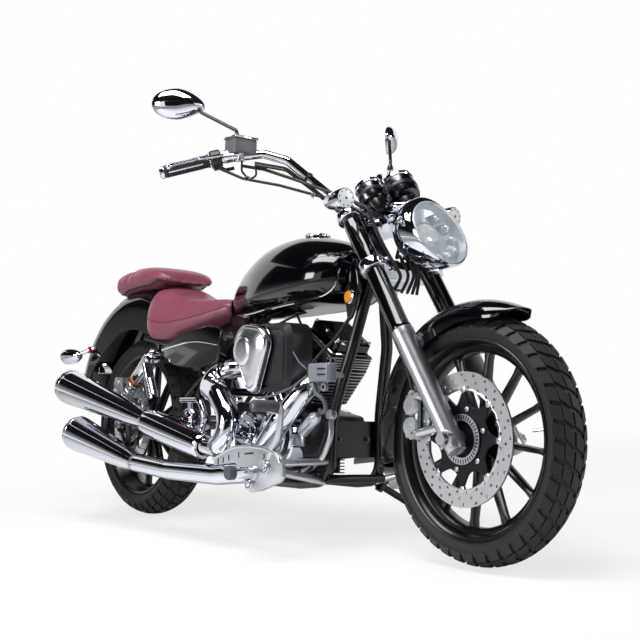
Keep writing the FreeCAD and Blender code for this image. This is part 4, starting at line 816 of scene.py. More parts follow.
# %% [markdown]
# ## Gauge pods
# Two turned cups in smoked metal, each with a bright rim. The marks are small plates, because a dial
# without lettering needs only its ticks and a needle.

# %% Gauge pods
def gauge_pods():
    facing = Vector((-0.6, 0, 0.8))
    for side, radius, length, height in ((-1, 36, 62, 944), (1, 46, 70, 968)):
        where = placed(Vector((437, side * 52, height)) - facing * (length / 2), facing)
        label = SIDES[side]
        bm = bmesh.new()
        lathe(bm, [(0, 0), (radius * 0.6, 0), (radius * 0.93, 3), (radius, 10), (radius, length - 12),
                   (radius + 1.5, length - 10), (radius + 1.5, length - 1), (radius - 2, length),
                   (radius - 4, length - 2)], where, 56)
        finish_piece(bm, f"gauge_cup_{label}", SMOKED_METAL, "steering", ["gauges"] if side > 0 else [])
        bm = bmesh.new()
        lathe(bm, [(radius + 1, length - 11), (radius + 2.5, length - 9), (radius + 2.5, length - 1),
                   (radius + 0.5, length + 0.6), (radius - 3, length - 0.6),
                   (radius - 3, length - 11)], where, 56, closed=True)
        finish_piece(bm, f"gauge_rim_{label}", CHROME, "steering")
        bm = bmesh.new()
        lathe(bm, [(radius + 1.7, length * 0.36), (radius + 2.2, length * 0.38),
                   (radius + 2.2, length * 0.52), (radius + 1.7, length * 0.54),
                   (radius - 0.5, length * 0.54), (radius - 0.5, length * 0.36)], where, 56,
              closed=True)
        lathe(bm, [(radius - 4, length - 2), (radius - 5, length - 4), (0, length - 4)], where, 48)
        finish_piece(bm, f"gauge_band_{label}", PLASTIC, "steering")
        bm = bmesh.new()
        face = where @ moved(0, 0, length - 3.9)
        for mark in range(11):
            turn = face @ turned(-130 + 26 * mark)
            brick(bm, (radius * 0.66, -0.7, 0), (radius * 0.82, 0.7, 0.3), turn)
        brick(bm, (-6, -1.2, 0.4), (radius * 0.62, 1.2, 1.0), face @ turned(200))
        finish_piece(bm, f"gauge_marks_{label}", WHITE_PAINT, "steering")


gauge_pods()

# %% [markdown]
# ## Front turn signals
# Bullet lamps are spun from sheet and plated. One turned outline serves all four, and the pattern of holes
# is raised black discs, the painted shade of the holes, so that it reads from afar.

# %% Front turn signals
def bullet(bm, face_centre, facing, radius, length):
    """Bullet lamp body; returns its frame, with Z out of the lens face."""
    facing = Vector(facing).normalized()
    where = placed(face_centre, facing)
    lathe(bm, [(radius * 0.9, 1), (radius * 0.97, 0), (radius, -3), (radius, -length * 0.24),
               (radius * 0.97, -length * 0.38), (radius * 0.88, -length * 0.55),
               (radius * 0.72, -length * 0.74), (radius * 0.48, -length * 0.9),
               (radius * 0.2, -length * 0.985), (0, -length)], where, 40)
    return where


def front_signals():
    for side in (-1, 1):
        label = SIDES[side]
        bm = bmesh.new()
        where = bullet(bm, (502, side * 191.7, 907.5), (1, side * 0.08, 0), 27.5, 98)
        tube(bm, rounded([(446, side * 30, 871), (466, side * 140, 900), (462, side * 182, 904)], 40), 9, 16)
        finish_piece(bm, f"front_signal_{label}", CHROME, "steering", ["front_turn_signals"]
                     if side > 0 else [])
        bm = bmesh.new()
        lathe(bm, [(25, 0.5), (24, 1.6), (14, 2.6), (0, 3.0)], where, 36)
        finish_piece(bm, f"front_signal_face_{label}", WHITE_PAINT, "steering")
        # black discs on the face: painted shade standing in for the shade inside the signal's holes
        bm = bmesh.new()
        for count, reach in ((1, 0), (5, 9.5), (9, 18.5)):
            for number in range(count):
                spot = where @ Vector((*polar(reach, math.tau * number / count), 2.8 - reach * 0.06))
                lathe(bm, [(3.6, -1), (3.6, 0.4), (0, 0.4)], placed(spot, where.to_3x3() @ Vector((0, 0, 1))),
                      12)
        finish_piece(bm, f"front_signal_hole_shade_{label}", PLASTIC, "steering")


front_signals()

# %% [markdown]
# ## Handlebar controls and mirrors
# Ribbed grips with bright ends, lever perches, switch housings, the right-hand fluid reservoir and
# two teardrop mirrors.

# %% Frame on the bar
GRIP_START, GRIP_END = Vector((75, -330, 1057)), Vector((-3, -450, 1015))


def bar_frame(side=-1):
    """Frame where the grip starts on the bar: Z outwards along it, X upwards."""
    spot, run = GRIP_START, GRIP_END - GRIP_START
    if side > 0:
        spot, run = Vector((spot.x, -spot.y, spot.z)), Vector((run.x, -run.y, run.z))
    return placed(spot, run)

# %% [markdown]
# ## Grips
# Moulded rubber with ribs that the hand feels. The ribs go round the bar, so they belong to the turned
# outline, and the bright inlays are bars laid on it.

# %% Grips
def hand_grips():
    length = (GRIP_END - GRIP_START).length
    for side in (-1, 1):
        label = SIDES[side]
        base = bar_frame(side)
        bm = bmesh.new()
        outline = [(13, 0.07 * length), (19.5, 0.07 * length), (19.5, 0.1 * length)]
        for rib in range(22):
            z = (0.12 + 0.036 * rib) * length
            outline += [(17.4, z), (18.2, z + 1.2), (18.2, z + 2.6), (17.4, z + 3.8)]
        outline += [(17.2, 0.94 * length), (13, 0.94 * length)]
        lathe(bm, outline, base, 40, closed=True)
        for angle in range(0, 360, 90):
            turn = base @ turned(angle + 20)
            brick(bm, (16, -3, 0.14 * length), (18.9, 3, 0.9 * length), turn, 1)
        finish_piece(bm, f"rubber_grip_{label}", SOFT_RUBBER, "steering", ["grips"] if side < 0 else [])
        bm = bmesh.new()
        lathe(bm, [(13, 0.945 * length), (18, 0.945 * length), (18.4, 0.96 * length), (17, 1.0 * length),
                   (12, 1.025 * length), (0, 1.03 * length)], base, 36)
        for angle in (65, 155, 245, 335):
            turn = base @ turned(angle)
            brick(bm, (16.2, -2.2, 0.2 * length), (18.8, 2.2, 0.86 * length), turn, 0.8)
        finish_piece(bm, f"grip_end_{label}", CHROME, "steering")


hand_grips()

# %% [markdown]
# ## Levers and housings
# Switch housings, perches and levers sit inboard of the grips. Bevelled bricks and turned collars make
# them, mirrored to the left. The blade is an oval swept along a line.

# %% Levers and housings
def hand_controls():
    bm = bmesh.new()
    base = bar_frame()
    length = (GRIP_END - GRIP_START).length
    lathe(bm, [(13, -0.16 * length), (22, -0.16 * length), (25, -0.14 * length), (26, -0.06 * length),
               (26, 0.02 * length), (23, 0.05 * length), (13, 0.05 * length)], base, 32, closed=True)
    brick(bm, (-30, -16, -0.13 * length), (-8, 14, 0.03 * length), base, 4)
    tube(bm, rounded([base @ Vector((-20, 6, -12)), base @ Vector((-34, 10, -26)),
                      base @ Vector((-34, 12, -52))], 12), 5, 12)
    both_sides(bm)
    finish_piece(bm, "switch_housing_detail", PLASTIC, "steering", ["switch_housings"])
    bm = bmesh.new()
    lathe(bm, [(13, -0.42 * length), (18, -0.42 * length), (19, -0.4 * length), (19, -0.24 * length),
               (18, -0.2 * length), (13, -0.2 * length)], base, 32, closed=True)
    tube(bm, rounded([(104, -292, 1066), (126, -282, 1070), (142, -276, 1070)], 10), 11, 16)
    rod(bm, 9, -11, 11, placed((138, -280, 1069), (0.2, 0, 1)), 20)
    both_sides(bm)
    tube(bm, [(118, 270, 1056), (120, 282, 1108)], [11, 8.5], 16)
    lathe(bm, [(0, 0), (13, 0), (13, 11), (9, 15), (0, 15)], placed((118, 271, 1060), (0.1, 0.3, 1)), 24)
    # frame of the reservoir on the right
    lathe(bm, [(0, -16), (13, -16), (15, 0), (0, 0)], placed((118, -268, 1072), (0, 0, 1)), 24)
    brick(bm, (90, -308, 1114), (153, -230, 1121), bevel=2.5)
    finish_piece(bm, "lever_perch_detail", CHROME, "steering", ["lever_perches"])
    bm = bmesh.new()
    brick(bm, (93, -305, 1072), (150, -233, 1115), bevel=4, segments=3)
    brick(bm, (99, -299, 1120), (144, -239, 1122.4), bevel=1)
    finish_piece(bm, "reservoir_body", GREY_PLASTIC, "steering")
    bm = bmesh.new()
    for x, y in ((96, -302), (147, -302), (96, -236), (147, -236)):
        bolt(bm, (x, y, 1121), (0, 0, 1), 4, 2.6)
    finish_piece(bm, "reservoir_screws", STEEL, "steering")
    bm = bmesh.new()
    line = rounded([(138, -280, 1069), (122, -326, 1062), (92, -386, 1048), (64, -440, 1030),
                    (54, -456, 1023)], 40, 8)
    widths = [9 - 3.4 * min(1, index / 12) for index in range(len(line))]
    rings = []
    for spot, wide, run in zip(line, widths, directions(line)):
        side = run.cross(Vector((0, 0, 1))).normalized()
        up = side.cross(run)
        rings.append(ring(bm, [spot + side * wide * math.cos(math.tau * k / 12)
                               + up * 4.6 * math.sin(math.tau * k / 12)
                               for k in range(12)]))
    bridge(bm, rings)
    bmesh.ops.create_icosphere(bm, subdivisions=3, radius=8.8, matrix=moved(54, -457, 1022.6))
    both_sides(bm)
    finish_piece(bm, "lever_blades", CHROME, "steering", ["hand_levers"])


hand_controls()

# %% [markdown]
# ## Mirrors
# A teardrop shell with a glass in front. The same outline is repeated smaller and deeper to round the back,
# which is simpler to aim than a sculpted shell.

# %% Mirrors
# side, middle of the head as if on the left, and how far it is turned outwards in degrees
MIRRORS = [(-1, Vector((-45, 378, 1233)), 38), (1, Vector((12, 366, 1243)), 46)]


def mirror_pair():
    for side, middle, toe in MIRRORS:
        label = SIDES[side]
        toe = math.radians(toe)
        across = Vector((math.sin(toe), -math.cos(toe), 0))
        facing = Vector((math.cos(toe), math.sin(toe), 0))

        def flip(point):
            return Vector((point.x, point.y * side, point.z))

        teardrop = []
        for step in range(48):
            angle = math.tau * step / 48
            c, s = math.cos(angle), math.sin(angle)
            wide = 78 * c
            tall = 45 * s * (1 - 0.34 * max(0, c) ** 1.2) * (1 + 0.06 * max(0, -c))
            teardrop.append((wide, tall - 6 * max(0, c) ** 2))
        bm = bmesh.new()
        rings = []
        for depth, share in ((-8, 0.93), (-6, 0.985), (0, 1.0), (9, 0.96), (17, 0.85), (24, 0.68), (29, 0.45),
                             (31.5, 0.2)):
            rings.append(ring(bm, [flip(middle + across * wide * share + Vector((0, 0, tall * share))
                                        + facing * depth)
                                   for wide, tall in teardrop]))
        bridge(bm, rings, cap=False)
        bm.faces.new(rings[-1])
        inner = ring(bm, [flip(middle + across * wide * 0.91 + Vector((0, 0, tall * 0.9)) + facing * -7)
                          for wide, tall in teardrop])
        bridge(bm, [rings[0], inner], cap=False)
        finish_piece(bm, f"mirror_shell_{label}", CHROME, "steering", ["mirrors"] if side < 0 else [], 50)
        bm = bmesh.new()
        glass = ring(bm, [flip(middle + across * wide * 0.91 + Vector((0, 0, tall * 0.9)) + facing * -6.5)
                          for wide, tall in teardrop])
        bm.faces.new(glass)
        finish_piece(bm, f"mirror_glass_{label}", DARK_GLASS, "steering")
        bm = bmesh.new()
        joint = middle + across * 52 + Vector((0, 0, -8)) + facing * 8
        base = Vector((120, 282, 1114))
        stem = rounded([base, base + Vector((0, 1, 26)), joint + Vector((10, -12, -18)), joint, middle
                        + across * 30 + facing * 14],
                       14, 6)
        tube(bm, [flip(point) for point in stem], 5.2, 14)
        lathe(bm, [(0, 0), (10, 0), (9, 10), (6, 16), (5, 20), (0, 20)], placed(flip(base), (0, 0, 1)), 20)
        finish_piece(bm, f"mirror_stem_{label}", PLASTIC if side < 0 else BLACK_SATIN, "steering")


mirror_pair()

# %% [markdown]
# ## Bridge and cables
# A faceted bridge joins clamp, lamp and gauges, and cables drop from the bar. Plates with broad bevels look
# cast, and round tubes with soft corners hang like cables.

# %% Bridge and cables
def top_bracket():
    bm = bmesh.new()
    where = Matrix(((0, 1, 0, 0), (1, 0, 0, 0), (0, 0, -1, 0), (0, 0, 0, 1)))
    prism(bm, [(-46, 402), (46, 402), (62, 436), (48, 478), (34, 512), (-34, 512), (-48, 478), (-62, 436)],
          moved(0, 0, 886) @ where, 22, 5, 3)
    for side in (-1, 1):
        tube(bm, [(430, side * 50, 874), (450, side * 52, 926)], [15, 11], 20)
        tube(bm, [(470, side * 40, 870), (522, side * 70, 842)], [12, 12], 16)
    prism(bm, [(-40, 470), (40, 470), (46, 520), (30, 552), (-30, 552), (-46, 520)],
          moved(0, 0, 915) @ where, 26, 8, 3)
    finish_piece(bm, "lamp_bridge", CHROME, "steering", ["lamp_bracket"])
    bm = bmesh.new()
    for side, height, radius in ((-1, 916, 27), (1, 932, 34)):
        lathe(bm, [(0, -34), (radius * 0.8, -34), (radius, -20), (radius, 4), (0, 4)],
              placed((457, side * 52, height), (-0.6, 0, 0.8)), 36)
    brick(bm, (404, -66, 884), (470, 66, 914), bevel=9, segments=3)
    finish_piece(bm, "gauge_bracket", BLACK_SATIN, "steering")
    bm = bmesh.new()
    for side in (-1, 1):
        tube(bm, [(356, side * 36, 862), (333, side * 36, 922)], [17, 15], 24)
        lathe(bm, [(0, -16), (20, -16), (22, -12), (22, 12), (20, 16), (0, 16)],
              placed((330, side * 36, 918), (0, 1, 0)), 28)
        for turn in (-1, 1):
            bolt(bm, (330 + turn * 12, side * 36, 938), (0.2, 0, 1), 4.5, 5)
    finish_piece(bm, "bar_clamp_caps", CHROME, "steering")
    bm = bmesh.new()
    for share in (0.35, 0.8):
        spot = Vector((206, -168, 1058)).lerp(Vector((330, -50, 918)), share)
        sleeve(bm, 13, 15.5, -4, 4, placed(spot, (124, 118, -140)), 24)
    # two control cables run down the bar on the right, and one on the left
    for side, drop in ((-1, 17), (-1, 24), (1, 18)):
        points = [(150, side * 240, 1068 - drop), (206, side * 172, 1054 - drop),
                  (262, side * 112, 992 - drop), (318, side * 64, 930 - drop), (352, side * 62, 884)]
        tube(bm, rounded(points, 40), 3.2, 10)
    # small loop below the reservoir
    tube(bm, rounded([(118, -262, 1058), (112, -258, 1030), (128, -244, 1006), (150, -232, 1014),
                      (148, -236, 1040)], 14), 3, 10)
    # looms that run down between the fork legs from the lamp
    for y, bow in ((-16, 0), (4, 8), (22, 4), (38, -4)):
        points = [(516, y, 812), (500 + bow, y, 768), steered(78, y * 0.9, 560),
                  steered(76 + bow, y * 0.7, 490),
                  steered(30, y, 470)]
        tube(bm, rounded(points, 30), 4.4, 10)
    finish_piece(bm, "control_cables_and_ties", SOFT_RUBBER, "steering")
    bm = bmesh.new()
    sleeve(bm, 5, 7.5, -14, 14, placed((158, -268, 1001), (76, -68, -20)), 16)
    sleeve(bm, 4, 6.5, -10, 10, placed((296, -142, 951), (104, -98, -40)), 16)
    finish_piece(bm, "cable_ferrules", STEEL, "steering")


top_bracket()

# %% [markdown]
# ## Fuel tank
# Pressed steel under gloss paint: its reflections show every bump. The skin follows a smooth curve through
# nine stations, so there is no edge except where the press leaves one.

# %% Fuel tank
TANK = [(356, 40, 774, 738, 704), (344, 66, 790, 738, 692), (322, 104, 814, 736, 676),
        (258, 138, 845, 726, 660), (132, 147, 870, 716, 650), (-10, 130, 862, 708, 646),
        (-130, 94, 826, 700, 644), (-220, 58, 776, 694, 648), (-276, 28, 738, 690, 662)]


def blended(stations, steps):
    """Catmull-Rom curve through rows of numbers, taken evenly between them."""
    rows = [stations[0]] + list(stations) + [stations[-1]]
    out = []
    for a, b, c, d in zip(rows, rows[1:], rows[2:], rows[3:]):
        for step in range(steps):
            t = step / steps
            out.append([0.5 * (2 * q + (r - p) * t + (2 * p - 5 * q + 4 * r - s) * t * t
                               + (3 * q - p - 3 * r + s) * t ** 3) for p, q, r, s in zip(a, b, c, d)])
    out.append(list(stations[-1]))
    return out


def tank_point(row, angle, lift=0.0):
    """Point of a tank station: angle 0 at the side, 90 on top, -90 underneath."""
    x, half, top, level, bottom = row
    c, s = math.cos(math.radians(angle)), math.sin(math.radians(angle))
    if s >= 0:
        y, z = (half + lift) * abs(c) ** 0.94, level + (top - level + lift) * s
    else:
        y, z = (half + lift) * abs(c) ** 0.72, level + (level - bottom + lift) * -abs(s) ** 0.9
    return Vector((x, math.copysign(y, c) if abs(c) > 1e-9 else 0, z))


def fuel_tank():
    rows = blended(TANK, 5)
    bm = bmesh.new()
    rings = [ring(bm, [tank_point(row, step * 7.5) for step in range(48)]) for row in rows]
    bridge(bm, rings)
    finish_piece(bm, "fuel_tank_skin", BLACK_GLOSS, "frame", ["fuel_tank"], 50)
    bm = bmesh.new()
    lathe(bm, [(0, 0), (34, 0), (36, 3), (36, 6), (33, 11), (24, 15), (0, 16)],
          placed((132, 0, 866), (0, 0, 1)), 48)
    for number in range(24):
        turn = placed((132, 0, 866), (0, 0, 1)) @ Matrix.Rotation(math.tau * number / 24, 4, "Z")
        brick(bm, (34, -1.6, 2), (37, 1.6, 9), turn, 0.6)
    # bright strip: along the front edge, round the corner and back along the lower edge
    for side in (1, -1):
        spots = []
        for index, angle in ((6.5, 12), (7.4, -8), (9.5, -34), (12.5, -47), (16, -50), (20, -50), (24, -52),
                             (28, -54), (33, -50), (37, -40)):
            low_row, share = rows[int(index)], index - int(index)
            row = [a + (b - a) * share for a, b in zip(low_row, rows[int(index) + 1])]
            angle = angle if side > 0 else 180 - angle
            spots.append(list(tank_point(row, angle, 1.0)))
        tube(bm, blended(spots, 6), 3.6, 10)
    finish_piece(bm, "tank_cap_and_strip", CHROME, "frame")


fuel_tank()

# %% [markdown]
# ## Side covers
# Moulded panels with round edges. A flat outline with a bevel makes one, and one frame a side places both.

# %% Side covers
def covers():
    """Rounded side panels under the saddle and small covers beside the steering head."""
    outline = [(-176, 506), (-160, 560), (-150, 602), (-190, 616), (-240, 622), (-330, 612), (-440, 586),
               (-520, 560), (-500, 536), (-466, 512), (-400, 500), (-330, 494), (-250, 494)]
    bm = bmesh.new()
    for side in (-1, 1):
        where = side_frame(0, 133.4, 0, side)
        prism(bm, outline, where, 10, 5, 3)
    neck = [(386, 780), (366, 742), (356, 700), (356, 650), (364, 606), (380, 616), (394, 640), (406, 680),
            (413, 708), (404, 744)]
    for side in (-1, 1):
        where = side_frame(0, 58, 0, side)
        prism(bm, neck, where, 13, 5, 3)
    finish_piece(bm, "side_cover_detail", BLACK_GLOSS, "frame", ["side_covers"])
    bm = bmesh.new()
    for side in (-1, 1):
        oval_frame = side_frame(374, 70, 672, side)
        lathe(bm, [(0, 9), (9, 9), (14, 7.5), (17, 4), (17.5, 0)],
              oval_frame @ Matrix.Rotation(0.1, 4, "Z") @ Matrix.Diagonal((1, 1.45, 1, 1)), 36)
    finish_piece(bm, "amber_reflectors", AMBER, "frame")
    bm = bmesh.new()
    for side in (-1, 1):
        oval_frame = side_frame(374, 70, 672, side)
        lathe(bm, [(17, 0), (19.5, 0), (19.5, 5), (17, 6)],
              oval_frame @ Matrix.Rotation(0.1, 4, "Z") @ Matrix.Diagonal((1, 1.4, 1, 1)), 36, closed=True)
        line = blended([[-172, side * 142, 560], [-300, side * 144, 575], [-420, side * 144, 566],
                        [-510, side * 143, 554]], 6)
        tube(bm, line, 3, 8)
    finish_piece(bm, "cover_trim", CHROME, "frame")


covers()

# %% [markdown]
# ## Saddle and pillion pad
# Each pad starts as a slightly small closed form, is blown up by a short cloth simulation, and then
# settles on the fender and the tank.  Its seams are laid on the finished surface.

# %% Pad stations and what they rest on
SADDLE = [(-240, 58, 714, 688, 650), (-250, 70, 718, 688, 642), (-272, 82, 720, 682, 634),
          (-304, 95, 721, 670, 624), (-360, 114, 723, 654, 606), (-420, 131, 728, 640, 592),
          (-480, 147, 738, 630, 578), (-540, 156, 757, 626, 568), (-590, 156, 779, 632, 568),
          (-622, 149, 790, 642, 574), (-646, 134, 790, 656, 588), (-660, 112, 782, 676, 612),
          (-665, 84, 768, 694, 640)]
PILLION = [(-578, 76, 803, 791, 782), (-588, 98, 817, 796, 784), (-606, 112, 829, 801, 789),
           (-630, 121, 839, 806, 793), (-670, 130, 849, 808, 780), (-720, 134, 856, 808, 776),
           (-780, 131, 857, 808, 773), (-826, 126, 853, 806, 771), (-838, 121, 847, 804, 774),
           (-850, 125, 853, 804, 769), (-890, 122, 852, 798, 757), (-914, 118, 849, 796, 756),
           (-925, 108, 842, 796, 762), (-928, 92, 830, 798, 776)]
FENDER_MIDDLE = Vector((-801, 0, 349))
FENDER_HALF = 105
CROWN_MIDDLE, CROWN_RADIUS = 326.25, 113.75
TANK_TAIL, TANK_UNDERSIDE = -100, 640


def fender_radius(y):
    """Outer radius of the rear fender's crown at a distance from its middle plane."""
    return CROWN_MIDDLE + math.sqrt(max(0.0, CROWN_RADIUS ** 2 - y * y))


def off_fender(point, room):
    """Move a point that lies in the fender to the fender's outside."""
    away = point - FENDER_MIDDLE
    radius = math.hypot(away.x, away.z)
    limit = fender_radius(min(abs(point.y), FENDER_HALF)) + room
    across = FENDER_HALF + room - abs(point.y)
    if radius >= limit or across <= 0:
        return point
    if limit - radius <= across or point.y == 0:
        return FENDER_MIDDLE + Vector((away.x * limit / radius, away.y, away.z * limit / radius))
    return Vector((point.x, math.copysign(FENDER_HALF + room, point.y), point.z))


def off_tank(point, room):
    """Move a point that lies in the tank's tail behind it."""
    reach = abs(point.y)
    for (front, wide, *_), (back, narrow, *_) in zip(TANK, TANK[1:]):
        if narrow <= reach < wide:
            edge = back + (front - back) * (reach - narrow) / (wide - narrow)
            beside = point.z > TANK_UNDERSIDE and edge < TANK_TAIL
            return Vector((min(point.x, edge - room), point.y, point.z)) if beside else point
    return Vector((min(point.x, TANK[-1][0] - room), point.y, point.z)) if reach < TANK[-1][1] else point

# %% [markdown]
# ## Blowing up a pad
# A pad is vinyl pulled over foam, so its skin is taut and its edges swell. Cloth pressure finds that form
# better than hand-made bulges, and a cap keeps the pad near its place.

# %% Blowing up a pad
def pad_section(row, angle, shrink, power, dish):
    """Point of a pad's section: a squarish oval, its top a little hollow where the rider sits."""
    x, half, top, level, bottom = row
    c, s = math.cos(angle), math.sin(angle)
    y = (half - shrink) * math.copysign(abs(c) ** (2 / power), c)
    height = (top - level - shrink) if s > 0 else (level - bottom - shrink)
    z = level + height * math.copysign(abs(s) ** (2 / power), s)
    if s > 0 and dish:
        z -= dish * max(0.0, 1 - (y / (0.66 * half)) ** 2)
    return Vector((x, y, z))


def swell(obj, cap, frames):
    """Blow the pad up with cloth pressure, and let no point move further than the cap."""
    scene = bpy.context.scene
    cloth = obj.modifiers.new("pressure", "CLOTH")
    cloth.settings.use_pressure = True
    cloth.settings.uniform_pressure_force = 4
    cloth.settings.quality = 4
    cloth.settings.tension_stiffness = 12
    cloth.settings.compression_stiffness = 12
    cloth.settings.bending_stiffness = 0.4
    cloth.settings.effector_weights.gravity = 0
    cloth.point_cache.frame_start, cloth.point_cache.frame_end = 1, frames
    for step in range(1, frames + 1):
        scene.frame_set(step)
    found = obj.evaluated_get(bpy.context.evaluated_depsgraph_get()).to_mesh()
    moved = [vert.co.copy() for vert in found.vertices]
    obj.evaluated_get(bpy.context.evaluated_depsgraph_get()).to_mesh_clear()
    obj.modifiers.remove(cloth)
    scene.frame_set(1)
    for vert, goal in zip(obj.data.vertices, moved):
        step = goal - vert.co
        if step.length > cap:
            step *= cap / step.length
        vert.co += step


def evaluated_copy(obj):
    """Mesh of an object with its modifiers applied."""
    return bpy.data.meshes.new_from_object(obj.evaluated_get(bpy.context.evaluated_depsgraph_get()))


def padded_piece(name, stations, power, dish, settle, replaced, cap=0.008):
    """Seat pad: its closed form, blown up a little and settled clear of what it rests on."""
    rows = blended(stations, 3)
    bm = bmesh.new()
    rings = [ring(bm, [pad_section(row, math.tau * step / 72, 5, power, dish) for step in range(72)])
             for row in rows]
    bridge(bm, rings)
    bmesh.ops.recalc_face_normals(bm, faces=bm.faces)
    bm.transform(BIKE)
    mesh = bpy.data.meshes.new(name)
    bm.to_mesh(mesh)
    bm.free()
    obj = bpy.data.objects.new(name, mesh)
    bpy.context.scene.collection.objects.link(obj)
    remesh = obj.modifiers.new("remesh", "REMESH")
    remesh.mode = "VOXEL"
    remesh.voxel_size = 0.006
    fine = evaluated_copy(obj)
    obj.modifiers.remove(remesh)
    obj.data = fine
    swell(obj, cap, 20)
    back = BIKE.inverted()
    for vert in obj.data.vertices:
        vert.co = BIKE @ settle(back @ vert.co)
    relax = obj.modifiers.new("relax", "SMOOTH")
    relax.factor = 0.5
    relax.iterations = 3
    smooth = obj.modifiers.new("subdivision", "SUBSURF")
    smooth.levels = smooth.render_levels = 1
    obj.data = evaluated_copy(obj)
    obj.modifiers.clear()
    obj.data.materials.clear()
    obj.data.materials.append(LEATHER)
    obj.data.polygons.foreach_set("use_smooth", [True] * len(obj.data.polygons))
    obj.name = name
    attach(obj, "frame")
    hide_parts(replaced)
    print(f"{name}: {len(obj.data.polygons)} faces of {LEATHER.name}")
    return obj

# %% [markdown]
# ## Seams and piping
# Seams are thread in a groove and piping is a rubber cord. Both are thin tubes whose points are dropped
# onto the finished pad, so they follow it wherever it settled.

# %% Seams and piping
def laid_on(obj, lines, radius, name, shade):
    """Thin rounded cords laid on a pad's surface."""
    graph = bpy.context.evaluated_depsgraph_get()
    tree = BVHTree.FromObject(obj, graph)
    back = BIKE.inverted()
    bm = bmesh.new()
    for line in lines:
        spots = []
        for point in line:
            spots.append(back @ tree.find_nearest(BIKE @ Vector(point))[0])
        for _ in range(2):
            spots = [spots[0]] + [(a + b * 2 + c) / 4 for a, b,
                                  c in zip(spots, spots[1:], spots[2:])] + [spots[-1]]
        tube(bm, spots, radius, 8)
    piece = finish_piece(bm, name, shade, "frame")
    return piece


def side_line(stations, angle, first):
    """Points along both sides of a pad at one angle of its section, from a share of its length on."""
    rows = blended(stations, 12)
    rows = rows[int(first * (len(rows) - 1)):]
    picked = [rows[int(step * (len(rows) - 1) / 90)] for step in range(91)]
    right = [pad_section(row, math.pi - angle, 0, 2.5, 0) for row in picked]
    left = [pad_section(row, angle, 0, 2.5, 0) for row in picked]
    return right + left[::-1]


def cross_line(stations, share):
    """Points over a pad at one station, from low on one side to low on the other."""
    rows = blended(stations, 12)
    row = rows[int(share * (len(rows) - 1))]
    low, high = -0.35, math.pi + 0.35
    return [pad_section(row, low + (high - low) * step / 60, 0, 2.5, 0) for step in range(61)]

# %% [markdown]
# ## Saddle and pillion
# The pads are made once the fender and the tank are in place, then sewn.

# %% Saddle and pillion
saddle = padded_piece("rider_saddle", SADDLE, 2.5, 9, lambda point: off_tank(off_fender(point, 3), 3),
                      "rider_seat")
pillion = padded_piece("pillion_pad", PILLION, 3.0, 0, lambda point: off_fender(point, 10.5), "pillion_seat",
                       0.006)
laid_on(saddle, [side_line(SADDLE, 0.12, 0.06)], 1.5, "saddle_side_seam", LEATHER_SEAM)
laid_on(saddle, [side_line(SADDLE, -1.05, 0.06)], 3.4, "saddle_edge_piping", SOFT_RUBBER)
laid_on(pillion, [cross_line(PILLION, share) for share in (0.58, 0.47)], 1.3, "pillion_cross_seams",
        LEATHER_SEAM)
laid_on(pillion, [side_line(PILLION, -0.75, 0.02)], 3.2, "pillion_edge_piping", SOFT_RUBBER)

# %% [markdown]
# ## Cylinders
# Each barrel is cast with fins that carry heat away. A fin is a rounded plate, repeated up the bore, with
# its rim in bright metal as if machined after painting.

# %% Cylinders
CRANK = Vector((93, 0, 337))


def bore_frame(side):
    """Frame of a cylinder: Z up its bore, X forward of it, Y to the left."""
    return Matrix.Translation(CRANK) @ Matrix.Rotation(math.radians(side * 33.5), 4, "Y")


def rounded_square(half_x, half_y, corner, pieces=6):
    """Points of a rectangle with round corners."""
    points = []
    for quarter, (sx, sy) in enumerate(((1, 1), (-1, 1), (-1, -1), (1, -1))):
        for step in range(pieces + 1):
            angle = math.radians(90 * quarter + 90 * step / pieces)
            points.append((sx * (half_x - corner) + corner * math.cos(angle), sy * (half_y - corner)
                           + corner * math.sin(angle)))
    return points


def slab(bm, half_x, half_y, corner, low, high, where, inset=0.0, rim=None):
    """Rounded plate between two levels, its edges broken, with its rim in another material slot."""
    levels = [(low, 0), (high, 0)]
    if inset:
        levels = [(low, inset), (low + inset, 0), (high - inset, 0), (high, inset)]
    rings = []
    for z, cut in levels:
        section = rounded_square(half_x - cut, half_y - cut, corner)
        rings.append(ring(bm, [where @ Vector((x, y, z)) for x, y in section]))
    start = len(bm.faces)
    bridge(bm, rings)
    if rim is not None:
        bm.faces.ensure_lookup_table()
        for face in bm.faces[start:]:
            if len(face.verts) == 4:
                face.material_index = rim


